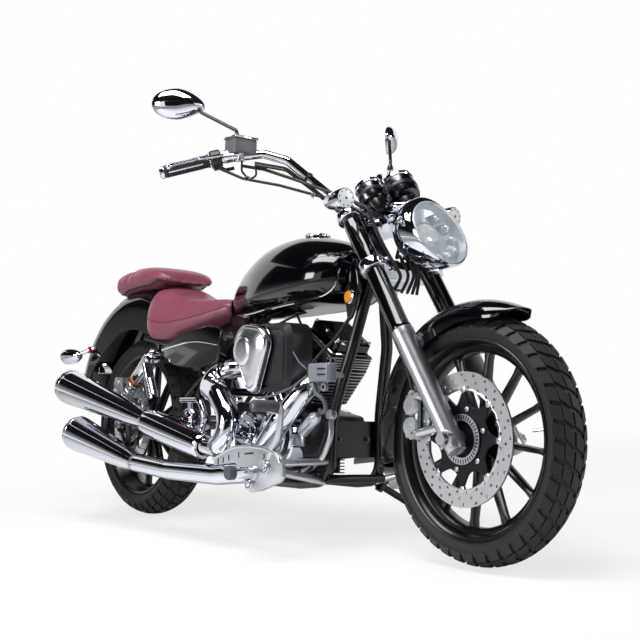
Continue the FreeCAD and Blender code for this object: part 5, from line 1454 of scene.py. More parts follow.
def cylinder_detail():
    bm = bmesh.new()
    for side in (1, -1):
        where = bore_frame(side)
        lathe(bm, [(58, 62), (58, 262), (0, 262)], where, 48)
        for row in range(11):
            low = 104 + 11 * row
            half = 70 + 1.1 * row
            slab(bm, half, half, 22, low, low + 3.4, where, rim=1)
        for row in range(5):
            low = 226 + 8 * row
            slab(bm, 80, 78, 16, low, low + 3.2, where, rim=1)
        slab(bm, 66, 66, 16, 222, 264, where)
        for x in (-46, 46):
            for y in (-48, 48):
                rod(bm, 6.5, 100, 268, where @ moved(x, y, 0), 14)
    finish_piece(bm, "cylinder_fins", ENGINE_BLACK, "frame", ["cylinders"], 30, [SATIN])
    bm = bmesh.new()
    for side in (1, -1):
        where = bore_frame(side)
        slab(bm, 70, 66, 12, 262, 270, where, 1.5)
        slab(bm, 67, 63, 14, 270, 300, where, 5)
        slab(bm, 52, 46, 12, 300, 306, where, 2)
    finish_piece(bm, "rocker_covers", BLACK_GLOSS, "frame")
    bm = bmesh.new()
    for side in (1, -1):
        where = bore_frame(side)
        slab(bm, 71, 67, 12, 264, 268, where, 0.8)
        slab(bm, 55, 49, 12, 299, 302, where, 0.8)
        for x in (-58, 0, 58):
            for y in (-56, 56):
                bolt(bm, where @ Vector((x, y, 299)), where.to_3x3() @ Vector((0, 0, 1)), 5, 6)
        for y in (-67, -45):
            for x in (-20, 20):
                tube(bm, [where @ Vector((x * 0.5, y * 0.94, 62)), where @ Vector((x, y, 150)),
                          where @ Vector((x, y, 226))], 7.5, 18)
    finish_piece(bm, "cover_edges_and_pushrod_tubes", CHROME, "frame")
    bm = bmesh.new()
    for side in (1, -1):
        where = bore_frame(side)
        plug = where @ Vector((side * 10, -80, 250))
        lathe(bm, [(0, -14), (6, -14), (8, 0), (8, 22), (5, 26), (0, 26)], placed(plug, (0, -1, 0.3)), 16)
        tube(bm, rounded([plug + Vector((0, -22, 6)), plug + Vector((0, -34, 30)), Vector((120, -60, 640)),
                          Vector((110, -20, 650))],
                         24), 3.6, 10)
    finish_piece(bm, "plug_leads", SOFT_RUBBER, "frame")


cylinder_detail()

# %% [markdown]
# ## Crankcase
# A closed casting with ribs under it and round plated covers on its sides. The case is a bevelled outline
# through the machine, and each cover is turned.

# %% Crankcase
CASE_BOSSES = ((-150, 372), (-60, 362), (40, 362), (240, 340), (286, 262), (-140, 232))


def crankcase_detail():
    outline = [(130, 232), (290, 240), (306, 262), (262, 352), (150, 372), (60, 372), (-30, 372), (-150, 390),
               (-176, 330), (-150, 214), (-110, 190), (100, 196)]
    where = side_frame(0, -80, 0, 1)
    bm = bmesh.new()
    prism(bm, outline, where, 160, 7, 2)
    for x in range(-90, 100, 16):
        brick(bm, (x, -70, 192), (x + 4, 70, 214), bevel=0.8)
    for y in range(-70, 71, 14):
        brick(bm, (100, y - 2, 200), (134, y + 2, 232), bevel=0.6)
    # low finned cooler that fills the front of the cradle below the plate
    for level in range(190, 232, 9):
        brick(bm, (132, -66, level), (196, 66, level + 3), bevel=0.6)
    brick(bm, (140, -58, 192), (186, 58, 230), bevel=2)
    for x, z in CASE_BOSSES:
        rod(bm, 11, -82, 82, placed((x, 0, z), (0, 1, 0)), 20)
    finish_piece(bm, "crankcase_detail", ENGINE_BLACK, "frame", ["crankcase"])
    bm = bmesh.new()
    for x, z in CASE_BOSSES:
        for side in (-1, 1):
            bolt(bm, (x, side * 82, z), (0, side, 0), 6, 5)
    for angle in range(0, 360, 45):
        c, s = math.cos(math.radians(angle)), math.sin(math.radians(angle))
        bolt(bm, (128 + 74 * c, -129, 290 + 74 * s), (0, -1, 0), 5, 5)
        bolt(bm, (110 + 63 * c, 125, 304 + 63 * s), (0, 1, 0), 5, 5)
    finish_piece(bm, "case_bolts", STEEL, "frame")
    bm = bmesh.new()
    dish = [(0, -150), (30, -150), (34, -148), (52, -147), (57, -144), (60, -138), (60, -130)]
    rim = [(64, -128), (66, -132), (80, -131), (84, -126), (85, -80), (0, -80)]
    turn = side_frame(128, 0, 290, 1)
    lathe(bm, dish + [(56, -126), (0, -126)], turn, 64)
    lathe(bm, [(64, -110)] + rim, turn, 64)
    rear_turn = side_frame(-60, 0, 300, 1)
    lathe(bm, [(0, -116), (30, -115), (34, -111), (52, -111), (60, -106), (62, -80), (0, -80)], rear_turn, 56)
    left_turn = side_frame(110, 0, 304, 1)
    lathe(bm, [(0, 142), (44, 141), (52, 137), (54, 126), (68, 125), (72, 120), (72, 80), (0, 80)], left_turn,
          64)
    gear_turn = side_frame(-80, 0, 290, 1)
    lathe(bm, [(0, 112), (40, 111), (52, 107), (56, 100), (56, 80), (0, 80)], gear_turn, 48)
    finish_piece(bm, "round_side_covers", CHROME, "frame", ["engine_covers"])
    bm = bmesh.new()
    lathe(bm, [(60.5, -112), (60.5, -136), (63, -138), (65, -136), (65, -112)], turn, 64, closed=True)
    lathe(bm, [(18, -151), (21, -152.5), (24, -151), (24, -149), (18, -149)], turn, 48, closed=True)
    finish_piece(bm, "cover_groove_rings", BLACK_SATIN, "frame")


crankcase_detail()

# %% [markdown]
# ## Air intake
# A bright cover whose outline wraps three circles. The outline is found from the circles, then repeated
# smaller and further out to dome it.

# %% Air intake
def air_intake():
    bm = bmesh.new()
    where = side_frame(169, 96, 510)
    slab(bm, 93, 95, 42, 0, 90, where, 12)
    slab(bm, 70, 76, 34, 88, 93, where, 3)
    for x in (244, 252):
        brick(bm, (x, -176, 452), (x + 4, -106, 572), bevel=1)
    for z in range(440, 590, 14):
        brick(bm, (60, -150, z), (82, -104, z + 4), bevel=1)
    finish_piece(bm, "air_box_detail", ENGINE_BLACK, "frame", ["air_box"])
    discs = [((88, 548), 54), ((138, 544), 52), ((122, 440), 28)]
    outline = []
    for step in range(120):
        u = polar(1, math.tau * step / 120)
        (cx, cz), radius = max(discs, key=lambda item: item[0][0] * u[0] + item[0][1] * u[1] + item[1])
        outline.append((cx + radius * u[0], cz + radius * u[1]))
    middle = (114, 520)

    def shell(bm, profile, close):
        rings = [ring(bm, [(middle[0] + (x - middle[0]) * share, y, middle[1] + (z - middle[1]) * share)
                           for x, z in outline])
                 for share, y in profile]
        bridge(bm, rings, cap=close)

    bm = bmesh.new()
    shell(bm, [(0.98, -203), (1.0, -205), (1.0, -211), (0.975, -216), (0.93, -219), (0.9, -219.6),
               (0.87, -218.6), (0.84, -219.5), (0.7, -224), (0.5, -227), (0.25, -228.5), (0.05, -229)], True)
    oval = side_frame(92, 0, 527) @ turned(9)
    lathe(bm, [(41, 218), (41, 228), (38, 231), (24, 232.5), (0, 233)],
          oval @ Matrix.Diagonal((1, 1.5, 1, 1)), 72)
    finish_piece(bm, "air_cleaner_cover", SOFT_CHROME, "frame", ["air_cleaner"], 40)
    bm = bmesh.new()
    lathe(bm, [(41, 222), (43, 222), (43, 227.4), (41, 228)], oval @ Matrix.Diagonal((1, 1.5, 1, 1)), 72,
          closed=True)
    shell(bm, [(0.9, -188), (1.02, -188), (1.03, -191), (1.03, -202), (1.0, -204), (0.9, -204)], False)
    finish_piece(bm, "air_cleaner_base", BLACK_GLOSS, "frame", (), 40)
    bm = bmesh.new()
    shell(bm, [(1.032, -196), (1.042, -197), (1.042, -199), (1.032, -200)], False)
    finish_piece(bm, "air_cleaner_trim", CHROME, "frame", (), 60)


air_intake()

# %% [markdown]
# ## Header pipes
# Bent steel tube with plated shields over it. A path of straight runs and true arcs bends as a tube bender
# does, and the shields are curved strips along the same path.

# %% Header pipes
FRONT_PIPE = [(314, -88, 478), (302, -156, 418), (244, -194, 336), (130, -216, 192), (-20, -222, 178),
              (-300, -220, 178), (-527, -218, 192)]
REAR_PIPE = [(-78, -64, 500), (-118, -130, 486), (-226, -156, 446), (-66, -196, 404), (26, -210, 330),
             (-20, -224, 250), (-200, -222, 266), (-471, -218, 327)]


def dense(points, bends, step=8):
    """Line of closely spaced points along straight runs with round corners, a radius for each."""
    line = [Vector(points[0])]
    for before, corner, after, bend in zip(points, points[1:], points[2:], bends):
        before, corner, after = Vector(before), Vector(corner), Vector(after)
        into, out = (corner - before).normalized(), (after - corner).normalized()
        turn = into.angle(out)
        setback = bend * math.tan(turn / 2)
        first, last = corner - into * setback, corner + out * setback
        centre = corner + (out - into).normalized() * (bend / math.cos(turn / 2))
        for share in range(13):
            arm = (first - centre).normalized().slerp((last - centre).normalized(), share / 12)
            line.append(centre + arm * bend)
    line.append(Vector(points[-1]))
    out = [line[0]]
    for a, b in zip(line, line[1:]):
        pieces = max(1, int((b - a).length / step))
        out += [a + (b - a) * (k + 1) / pieces for k in range(pieces)]
    return out


def shield(bm, line, first, last, radius, outward, spread, flare=0.0):
    """Curved plate over one side of a pipe, its ends drawn in."""
    picked = line[int(first * (len(line) - 1)):int(last * (len(line) - 1)) + 1]
    rings, thickness = [], 2
    for index, (spot, run) in enumerate(zip(picked, directions(picked))):
        away = (Vector(outward) - run * run.dot(Vector(outward))).normalized()
        side = run.cross(away)
        share = index / (len(picked) - 1)
        end = min(1.0, 9 * share, 9 * (1 - share))
        half = math.radians(spread) * (0.72 + 0.28 * math.sqrt(max(end, 0)))
        reach = radius * (1 + flare * math.sin(math.pi * share))
        arc = [away * math.cos(angle) + side * math.sin(angle)
               for angle in [half * (k / 7 - 1) for k in range(15)]]
        inner = [spot + arm * (reach - thickness) for arm in arc[::-1]]
        rings.append(ring(bm, [spot + arm * reach for arm in arc] + inner))
    bridge(bm, rings)


SHIELD_FACING = (0.25, -1, 0.1)


def headers():
    front = dense(FRONT_PIPE, (40, 90, 100, 80, 200))
    rear = dense(REAR_PIPE, (40, 34, 60, 60, 50, 70))
    bm = bmesh.new()
    tube(bm, front, 25, 32)
    tube(bm, [(270.5, -44, 514.6), (314, -88, 478)], 16, 24)
    finish_piece(bm, "front_header", CHROME, "frame", ["front_exhaust_pipe"])
    bm = bmesh.new()
    tube(bm, rear, 25, 32)
    finish_piece(bm, "rear_header", CHROME, "frame", ["rear_exhaust_pipe"])
    bm = bmesh.new()
    shield(bm, front, 0.05, 0.34, 31, SHIELD_FACING, 104, flare=0.06)
    shield(bm, front, 0.4, 0.985, 29.5, (0, -1, 0.25), 118)
    shield(bm, rear, 0.14, 0.52, 32, (0, -1, 0.2), 108, flare=0.1)
    finish_piece(bm, "header_shields", CHROME, "frame")
    bm = bmesh.new()
    start, end = Vector((-96, -224, 255)), Vector((-436, -218, 318))
    guard = placed(start, end - start)
    length = (end - start).length
    lathe(bm, [(27, 0), (34, 0), (38, 6), (39, 16), (42, 0.3 * length), (44, 0.6 * length),
               (44, 0.9 * length), (42, length), (27, length)], guard, 48)
    finish_piece(bm, "collector_shield", CHROME, "frame")
    # black bars on the front shield: painted shade standing in for the shade in its slots
    bm = bmesh.new()
    for share in (0.12, 0.17, 0.22, 0.27):
        index = int(share * (len(front) - 1))
        run = (front[index + 1] - front[index - 1]).normalized()
        side = run.cross(Vector(SHIELD_FACING)).normalized()
        away = side.cross(run)
        spot = front[index] + away * 32
        cross = Matrix((tuple(run), tuple(side), tuple(away))).transposed().to_4x4()
        brick(bm, (-11, -3, -1.4), (11, 3, 0.7), Matrix.Translation(spot) @ cross, 1)
    finish_piece(bm, "shield_slot_shade", BLACK_SATIN, "frame")
    bm = bmesh.new()
    for line, share in ((front, 0.045), (front, 0.355), (front, 0.99), (rear, 0.09), (rear, 0.55)):
        index = min(int(share * (len(line) - 1)), len(line) - 2)
        run = line[index + 1] - line[index]
        sleeve(bm, 25, 28.4, -7, 7, placed(line[index], run), 36)
        bolt(bm, line[index] + Vector((0, -27, -6)), (0, -1, 0), 5, 6)
    finish_piece(bm, "pipe_clamps", STEEL, "frame")


headers()

# %% [markdown]
# ## Mufflers
# Cans that flare to a rolled tip, with a dark core inside. One outline, turned, gives the flare, the groove
# and the lip in a single closed shape.

# %% Mufflers
def mufflers():
    for name, start, end in (("lower", FRONT_PIPE[-1], (-962, -218, 277)),
                             ("upper", REAR_PIPE[-1], (-1042, -218, 441))):
        start, end = Vector(start), Vector(end)
        length = (end - start).length
        where = placed(start, end - start)
        bm = bmesh.new()
        lathe(bm, [(24, -4), (28, -4), (29, 10), (33, 0.08 * length), (36.5, 0.14 * length),
                   (45, 0.42 * length), (54, 0.72 * length), (60, 0.9 * length), (61, 0.935 * length),
                   (60.6, 0.94 * length), (59.6, 0.943 * length), (60.6, 0.946 * length),
                   (61, 0.952 * length), (61, 0.975 * length), (58.5, 0.995 * length), (54, length),
                   (50.5, 0.994 * length), (49, 0.975 * length), (48.5, length - 58)], where,
              72)
        finish_piece(bm, f"{name}_muffler_can", CHROME, "frame", [f"{name}_muffler"])
        bm = bmesh.new()
        rod(bm, 49, length - 52, length - 57, where, 48)
        lathe(bm, [(18, length - 60), (24, length - 60), (24, length - 12), (22, length - 9),
                   (18, length - 12)], where, 36,
              closed=True)
        finish_piece(bm, f"{name}_muffler_core", DARK_METAL, "frame")
    bm = bmesh.new()
    for x, z_low, z_high in ((-640, 214, 362), (-800, 240, 398)):
        brick(bm, (x - 14, -190, z_low), (x + 14, -182, z_high), bevel=2)
    finish_piece(bm, "muffler_hanger", BLACK_SATIN, "frame")


mufflers()

# %% [markdown]
# ## Foot controls
# Cast brackets carry a peg and a pedal. Each bracket is a bevelled outline with a ridge along its top, and
# the ribbed rubbers are turned.

# %% Foot controls
PLATE_BOLTS = ((275, 213), (200, 168))


def foot_controls():
    outline = [(348, 190), (340, 238), (318, 254), (286, 260), (250, 266), (180, 266), (118, 262), (60, 246),
               (12, 226), (10, 206), (60, 212), (118, 224), (152, 208), (176, 150), (196, 142), (240, 148),
               (334, 176)]
    bm = bmesh.new()
    for side in (-1, 1):
        prism(bm, outline, side_frame(0, 246, 0, side), 13, 4, 3)
        ridge = blended([[338, side * 260, 226], [318, side * 261, 248], [250, side * 262, 263],
                         [118, side * 262, 259], [14, side * 261, 222]], 8)
        tube(bm, ridge, 4.5, 12)
        for x, z, radius in ((275, 213, 17), (200, 168, 17), (216, 196, 21)):
            lathe(bm, [(0, 252), (radius, 252), (radius, 264), (radius - 3, 267), (0, 267)],
                  side_frame(x, 0, z, side), 32)
        tube(bm, [(306, side * 92, 174), (306, side * 250, 204)], 10, 20)
        tube(bm, [(326, side * 90, 230), (318, side * 250, 226)], 10, 20)
        lever = blended([[268, side * 254, 222], [296, side * 256, 262], [322, side * 257, 300],
                         [332, side * 259, 345], [333, side * 262, 372], [329, side * 282, 376]], 6)
        tube(bm, lever, 9.5, 14)
        tube(bm, [(329, side * 262, 372), (327, side * 344, 374)], 7, 16)
        lathe(bm, [(0, 246), (14, 246), (14, 270), (11, 272), (0, 272)], side_frame(268, 0, 222, side), 28)
        brick(bm, (-3, -9, 0), (3, 9, 74), placed((334, side * 262, 352), (-0.5, side * 0.75, 0.22)), 2)
    finish_piece(bm, "foot_bracket", CAST_SILVER, "frame", ["foot_controls"])
    # black bars on the bracket's face and black rings round the plate bolts' heads: painted shade of its slots and
    # recesses
    bm = bmesh.new()
    for side in (-1, 1):
        for x, z in ((36, 218), (62, 224), (90, 231), (140, 240), (262, 240)):
            brick(bm, (-2.6, -8, 258), (2.6, 8, 259.6), side_frame(x, 0, z, side), 0.5)
        slot_frame = side_frame(190, 0, 246, side) @ Matrix.Rotation(0.1, 4, "Z")
        brick(bm, (-22, -2.4, 258), (22, 2.4, 259.8), slot_frame, 0.6)
        for x, z in PLATE_BOLTS:
            sleeve(bm, 11.5, 13.5, 266, 268.2, side_frame(x, 0, z, side), 28)
            rod(bm, 4, 268, 268.6, side_frame(x, 0, z, side), 6)
    finish_piece(bm, "bracket_slot_shade", BLACK_SATIN, "frame")
    bm = bmesh.new()
    for side in (-1, 1):
        for x, z in PLATE_BOLTS:
            lathe(bm, [(0, 266), (11, 266), (11, 268), (9, 269), (0, 269)], side_frame(x, 0, z, side), 28)
        lathe(bm, [(0, 262), (15, 262), (15.5, 266), (15.5, 322), (13, 326), (0, 326)],
              side_frame(216, 0, 196, side), 32)
    finish_piece(bm, "peg_and_bolts", CHROME, "frame")
    bm = bmesh.new()
    for side in (-1, 1):
        lathe(bm, [(12, 324), (18.5, 324), (19, 328), (19, 338), (17, 344), (0, 345)],
              side_frame(216, 0, 196, side), 32)
        pad = [(7, 268), (14, 268)]
        for rib in range(9):
            z = 271 + 8 * rib
            pad += [(14, z), (15.5, z + 1.5), (15.5, z + 5), (14, z + 6.5)]
        pad += [(13, 345), (7, 345)]
        lathe(bm, pad, side_frame(328, 0, 373, side), 28, closed=True)
    finish_piece(bm, "peg_and_pedal_rubber", PEDAL_GREY, "frame")


foot_controls()

# %% [markdown]
# ## Tray
# A dark moulded tray fills the space under the saddle. Bevelled boxes are enough where so little light
# falls.

# %% Tray
def under_saddle_tray():
    bm = bmesh.new()
    brick(bm, (-330, -92, 470), (-212, 92, 586), bevel=10, segments=3)
    brick(bm, (-300, -104, 486), (-238, -88, 540), bevel=5)
    brick(bm, (-392, -100, 486), (-338, 100, 566), bevel=8)
    for z in (492, 508, 524):
        brick(bm, (-296, -107, z), (-244, -102, z + 5), bevel=1)
    finish_piece(bm, "under_saddle_tray", PLASTIC, "frame")
    bm = bmesh.new()
    for side in (-1, 1):
        tube(bm, rounded([(-300, side * 108, 470), (-352, side * 116, 430), (-420, side * 118, 372)], 30), 8,
             14)
    brick(bm, (-352, -112, 398), (-322, -96, 436), bevel=3)
    finish_piece(bm, "tray_stays", BLACK_SATIN, "frame")


under_saddle_tray()

# %% [markdown]
# ## Coil box and leads
# A grey box with leads, hose and cables. Tubes along softly bent lines hang as real leads do.

# %% Coil box and leads
def downtube_box():
    bm = bmesh.new()
    brick(bm, (356, -194, 438), (448, -164, 488), bevel=7, segments=3)
    brick(bm, (392, -197, 441), (445, -166, 485), bevel=5, segments=3)
    brick(bm, (360, -190, 428), (378, -170, 436), bevel=2)
    lathe(bm, [(0, -5), (11, -5), (12, 0), (11, 5), (0, 5)], placed((420, -184, 425), (0, 1, 0)), 24)
    tube(bm, [(400, -166, 460), (357, -70, 460)], 8, 16)
    finish_piece(bm, "downtube_box", COIL_GREY, "frame", ["coil_box"])
    bm = bmesh.new()
    brick(bm, (347, -190, 452), (354, -172, 474), bevel=1.5)
    rod(bm, 5, -6, 6, placed((420, -184, 425), (0, 1, 0)), 16)
    for z in (470, 455):
        brick(bm, (404, -199, z), (440, -197, z + 4), bevel=0.6)
    finish_piece(bm, "downtube_box_marks", BLACK_SATIN, "frame")
    bm = bmesh.new()
    brick(bm, (346, -186, 456), (350, -178, 464), bevel=1)
    finish_piece(bm, "downtube_box_plug", YELLOW_TAG, "frame")
    # thin leads: one sweeps back under the intake, one drops to the engine
    bm = bmesh.new()
    tube(bm, rounded([(350, -182, 460), (300, -196, 428), (220, -200, 404), (140, -196, 396),
                      (96, -180, 400)], 60), 3, 10)
    tube(bm, rounded([(352, -182, 466), (316, -192, 492), (286, -190, 520)], 20), 2, 8)
    finish_piece(bm, "thin_leads", GREY_PLASTIC, "frame")
    bm = bmesh.new()
    tube(bm, rounded([(372, -182, 434), (384, -184, 408), (412, -176, 392), (404, -166, 366),
                      (374, -156, 358), (352, -146, 366)],
                     18), 6, 14)
    finish_piece(bm, "box_hose", GREY_PLASTIC, "frame")
    bm = bmesh.new()
    tube(bm, rounded([(376, -52, 640), (352, -98, 560), (330, -128, 520), (322, -150, 494)], 60), 4.5, 12)
    tube(bm, rounded([(350, -110, 330), (330, -126, 250), (290, -132, 200), (220, -134, 186),
                      (120, -136, 190)], 60), 5, 12)
    tube(bm, rounded([(366, -96, 420), (352, -112, 350), (330, -120, 270), (296, -126, 214),
                      (240, -128, 196)], 60), 4, 12)
    tube(bm, rounded([(340, -106, 300), (310, -112, 236), (268, -118, 200), (200, -120, 190)], 60), 4, 12)
    finish_piece(bm, "frame_cables", SOFT_RUBBER, "frame")
    bm = bmesh.new()
    lathe(bm, [(0, 0), (14, 0), (17, 4), (17, 78), (14, 84), (8, 92), (0, 92)],
          placed((282, -150, 306), (0.84, -0.1, 0.5)), 28)
    tube(bm, rounded([(350, -108, 352), (360, -112, 300), (336, -120, 240), (286, -128, 206),
                      (262, -130, 200)], 60), 7.5, 16)
    lathe(bm, [(0, -9), (13, -9), (15, 0), (13, 9), (0, 9)], placed((350, -106, 354), (0, -1, 0.2)), 24)
    brick(bm, (238, -152, 268), (286, -140, 300), bevel=4)
    rod(bm, 13, -4, 6, placed((262, -152, 282), (0, -1, 0)), 24)
    finish_piece(bm, "brake_cylinder_and_pipe", CAST_SILVER, "frame")


downtube_box()

# %% [markdown]
# ## Cross plate
# A flat bolted plate between the downtubes, with rounded corners.

# %% Cross plate
def cross_plate():
    bm = bmesh.new()
    where = Matrix(((0, 0, 1, 310), (1, 0, 0, 0), (0, 1, 0, 289), (0, 0, 0, 1)))
    slab(bm, 86, 50, 5, 0, 4.4, where, 1)
    finish_piece(bm, "cross_plate", BLACK_SATIN, "frame", ["front_plate"])
    bm = bmesh.new()
    for y in (-48, 48):
        lathe(bm, [(0, 0), (11, 0), (11, 2), (9.5, 3), (0, 3)], placed((314.4, y, 289), (1, 0, 0)), 32)
        lathe(bm, [(0, 3), (6.5, 3), (6.5, 7), (5, 8), (0, 8)], placed((314.4, y, 289), (1, 0, 0)), 6)
    finish_piece(bm, "cross_plate_bolts", BLACK_GLOSS, "frame")


cross_plate()

# %% [markdown]
# ## Front caliper
# Two cast halves straddle the disc with the pads between them. Bevelled blocks and turned bosses are built
# in the wheel's own frame, so their gap is centred on the disc.

# %% Front caliper
def front_brake():
    where = wheel_frame(FRONT)
    bm = bmesh.new()
    for low, high in ((45, 60.5), (67.5, 82)):
        brick(bm, (-190, -2, low), (-142, 106, high), where, 6)
    brick(bm, (-190, 2, 56), (-172, 102, 72), where, 4)
    for y in (26, 78):
        lathe(bm, [(0, 78), (24, 78), (25, 84), (22, 90), (0, 91)], where @ moved(-163, y, 0), 32)
    for x, y in ((-150, 104), (-150, 8)):
        mount = (-40, y - 12, 84) if y > 50 else (-22, y + 26, 84)
        tube(bm, [where @ Vector((x, y, 84)), where @ Vector(mount)], 10, 18)
        rod(bm, 13, 74, 95, where @ moved(x, y, 0), 24)
    finish_piece(bm, "front_caliper_body", CAST_SILVER, "steering", ["front_caliper"])
    bm = bmesh.new()
    for x, y in ((-150, 104), (-150, 8)):
        rod(bm, 7, 95, 100, where @ moved(x, y, 0), 6)
    for y in (26, 78):
        lathe(bm, [(0, 91), (9, 91), (8, 93), (0, 93)], where @ moved(-163, y, 0), 24)
    rod(bm, 6, 0, 16, placed(where @ Vector((-166, 112, 72)), (0, 0, 1)), 16)
    finish_piece(bm, "front_caliper_bolts", STEEL, "steering")
    bm = bmesh.new()
    brick(bm, (-186, 46, 60), (-150, 56, 84), where, 2)
    brick(bm, (-178, 4, 58), (-146, 100, 61), where, 1)
    brick(bm, (-178, 4, 67), (-146, 100, 70), where, 1)
    finish_piece(bm, "front_brake_pads", DARK_METAL, "steering")


front_brake()

# %% [markdown]
# ## Spring units
# A coil spring under a bright cover. The wire is a round tube along a helix, since a texture would show no
# gaps between its turns.

# %% Spring units
def spring_units():
    top, foot = Vector((-566, 138, 548)), Vector((-800, 138, 372))
    coils = bmesh.new()
    chrome = bmesh.new()
    orange = bmesh.new()
    dark = bmesh.new()
    for side in (-1, 1):
        a, b = Vector((top.x, side * top.y, top.z)), Vector((foot.x, side * foot.y, foot.z))
        where = placed(a, b - a)
        length = (b - a).length
        lathe(chrome, [(0, 14), (20, 14), (26, 20), (27, 30), (27, 0.44 * length), (25, 0.46 * length),
                       (0, 0.46 * length)], where, 40)
        rod(chrome, 7, 0.46 * length, length - 14, where, 20)
        sleeve(orange, 20, 26, 0.462 * length, 0.5 * length, where, 36)
        sleeve(dark, 7, 24, 0.5 * length, 0.53 * length, where, 36)
        sleeve(dark, 7, 24, 0.88 * length, 0.92 * length, where, 36)
        turns, points = 6, []
        for step in range(turns * 20 + 1):
            angle = math.tau * step / 20
            z = (0.535 + 0.34 * step / (turns * 20)) * length
            points.append(where @ Vector((*polar(17.5, angle), z)))
        tube(coils, points, 3.6, 10)
        for centre in (a, b):
            lathe(chrome, [(9, -13), (15, -13), (16, 0), (15, 13), (9, 13)],
                  placed(centre + Vector((0, side * 1, 0)), (0, 1, 0)), 28,
                  closed=True)
            lathe(chrome, [(0, 12), (8, 12), (9, 18), (7, 21), (0, 21)], placed(centre, (0, side, 0)), 24)
        high, mid, low = [Vector((x, side * 165, z)) for x, z in ((-572, 512), (-549, 460), (-514, 396))]
        lathe(chrome, [(0, 0), (14, 0), (17, 4), (17, (mid - high).length), (0, (mid - high).length)],
              placed(high, mid - high), 32)
        bellows = [(0, 0), (16, 0)]
        reach = (low - mid).length
        for fold in range(8):
            z = 3 + fold * (reach - 10) / 8
            bellows += [(16, z), (20, z + 2.2), (20, z + 4.6), (16, z + 6.6)]
        bellows += [(15, reach), (0, reach)]
        lathe(chrome, bellows, placed(mid, low - mid), 32)
        tube(chrome, rounded([(-570, side * 164, 500), (-590, side * 160, 520), (-598, side * 144, 534)], 10),
             6, 12)
        brick(dark, (-7, -19, -6), (7, 19, 6), placed((-560, side * 160, 474), (low - high), (0, 1, 0)), 2)
    finish_piece(coils, "springs", STEEL, "frame", ["shock_absorbers"])
    finish_piece(chrome, "spring_covers", CHROME, "frame")
    finish_piece(orange, "preload_rings", ORANGE_RING, "frame")
    finish_piece(dark, "spring_seats", DARK_METAL, "frame")


spring_units()

# %% [markdown]
# ## Rear fittings
# Caliper, lamps, pivot cover and drive case are cast, moulded or spun: boxes with bevels and turned shapes
# again.

# %% Rear fittings
def rear_fittings():
    where = wheel_frame(REAR)
    bm = bmesh.new()
    for low, high in ((57, 77.5), (88.5, 100)):
        brick(bm, (-118, 78, low), (-70, 164, high), where, 6)
    brick(bm, (-116, 140, 70), (-72, 164, 95), where, 4)
    for y in (104, 140):
        lathe(bm, [(0, 98), (17, 98), (17, 103), (14, 106), (0, 106)], where @ moved(-94, y, 0), 28)
    prism(bm, [(-22, -14), (22, -12), (20, 14), (-56, 120), (-108, 126), (-112, 92)],
          where @ moved(0, 0, 98.4), 8, 2)
    finish_piece(bm, "rear_caliper_body", CAST_SILVER, "frame", ["rear_caliper"])
    bm = bmesh.new()
    for side in (-1, 1):
        root = Vector((-1084.4, side * 103.5, 586.8))
        bullet(bm, (-1218.4, side * 150, 556), (-1, side * 0.1, 0), 30, 98)
        tube(bm, [root, (-1150, side * 146, 556)], 7.5, 18)
    finish_piece(bm, "rear_signal_bodies", CHROME, "frame", ["rear_turn_signals"])
    bm = bmesh.new()
    for side in (-1, 1):
        face = placed((-1218.4, side * 150, 556), (-1, side * 0.1, 0))
        lathe(bm, [(27.5, 0), (27.5, 3), (22, 6.5), (10, 9), (0, 9.6)], face, 40)
        brick(bm, (-1108, side * 112 - 9, 566), (-1088, side * 112 + 9, 590), bevel=2.5)
    finish_piece(bm, "rear_signal_lenses", RED_LENS, "frame")
    bm = bmesh.new()
    brick(bm, (-1259, -32, 499), (-1200, 32, 541), bevel=8, segments=3)
    finish_piece(bm, "tail_lamp_lens", RED_LENS, "frame", ["tail_lamp"])
    bm = bmesh.new()
    brick(bm, (-1246, -35, 495), (-1190, 35, 545), bevel=9, segments=3)
    finish_piece(bm, "tail_lamp_body", CHROME, "frame")
    # swingarm pivot: bright cover ring with a smooth loop round it
    bm = bmesh.new()
    turn = side_frame(-290, 0, 330)
    lathe(bm, [(0, 178), (20, 177), (27, 172), (30, 164), (30, 102), (0, 102)], turn, 48)
    lathe(bm, [(33, 150), (38, 150), (40, 156), (40, 166), (37, 170), (33, 170)], turn, 48, closed=True)
    tube(bm, rounded([(-330, -168, 392), (-215, -172, 392), (-180, -174, 340), (-196, -174, 300)], 40), 9.5,
         20)
    tube(bm, [(-280, -162, 340), (-280, -170, 388)], 8, 16)
    finish_piece(bm, "pivot_cover", CHROME, "frame", ["pivot_guard"])
    # bevel drive case at the left of the rear hub
    bm = bmesh.new()
    hub = side_frame(REAR.x, 0, REAR.z, 1)
    lathe(bm, [(11, 80), (70, 80), (72, 84), (72, 98), (68, 104), (50, 107), (11, 107)], hub, 56, closed=True)
    for angle in range(0, 360, 45):
        c, s = math.cos(math.radians(angle)), math.sin(math.radians(angle))
        bolt(bm, (REAR.x + 61 * c, 105, REAR.z + 61 * s), (0, 1, 0), 4.5, 5)
    finish_piece(bm, "bevel_drive_case", CAST_SILVER, "frame", ["final_drive"])


rear_fittings()

# %% [markdown]
# ## Studio
# White surroundings, one broad lamp overhead and two soft side lamps.

# %% Stage panels and lamps
def plane(name, centre, size, facing, shade):
    """Flat stage panel that faces along a direction."""
    bm = bmesh.new()
    bmesh.ops.create_grid(bm, x_segments=1, y_segments=1, size=0.5)
    turn = Vector(facing).to_track_quat("Z", "Y").to_matrix().to_4x4()
    bm.transform(Matrix.Translation(centre) @ turn @ Matrix.Diagonal((size[0], size[1], 1, 1)))
    mesh = bpy.data.meshes.new(name)
    bm.to_mesh(mesh)
    bm.free()
    obj = bpy.data.objects.new(name, mesh)
    bpy.context.scene.collection.objects.link(obj)
    mesh.materials.append(shade)
    obj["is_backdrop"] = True
    return obj


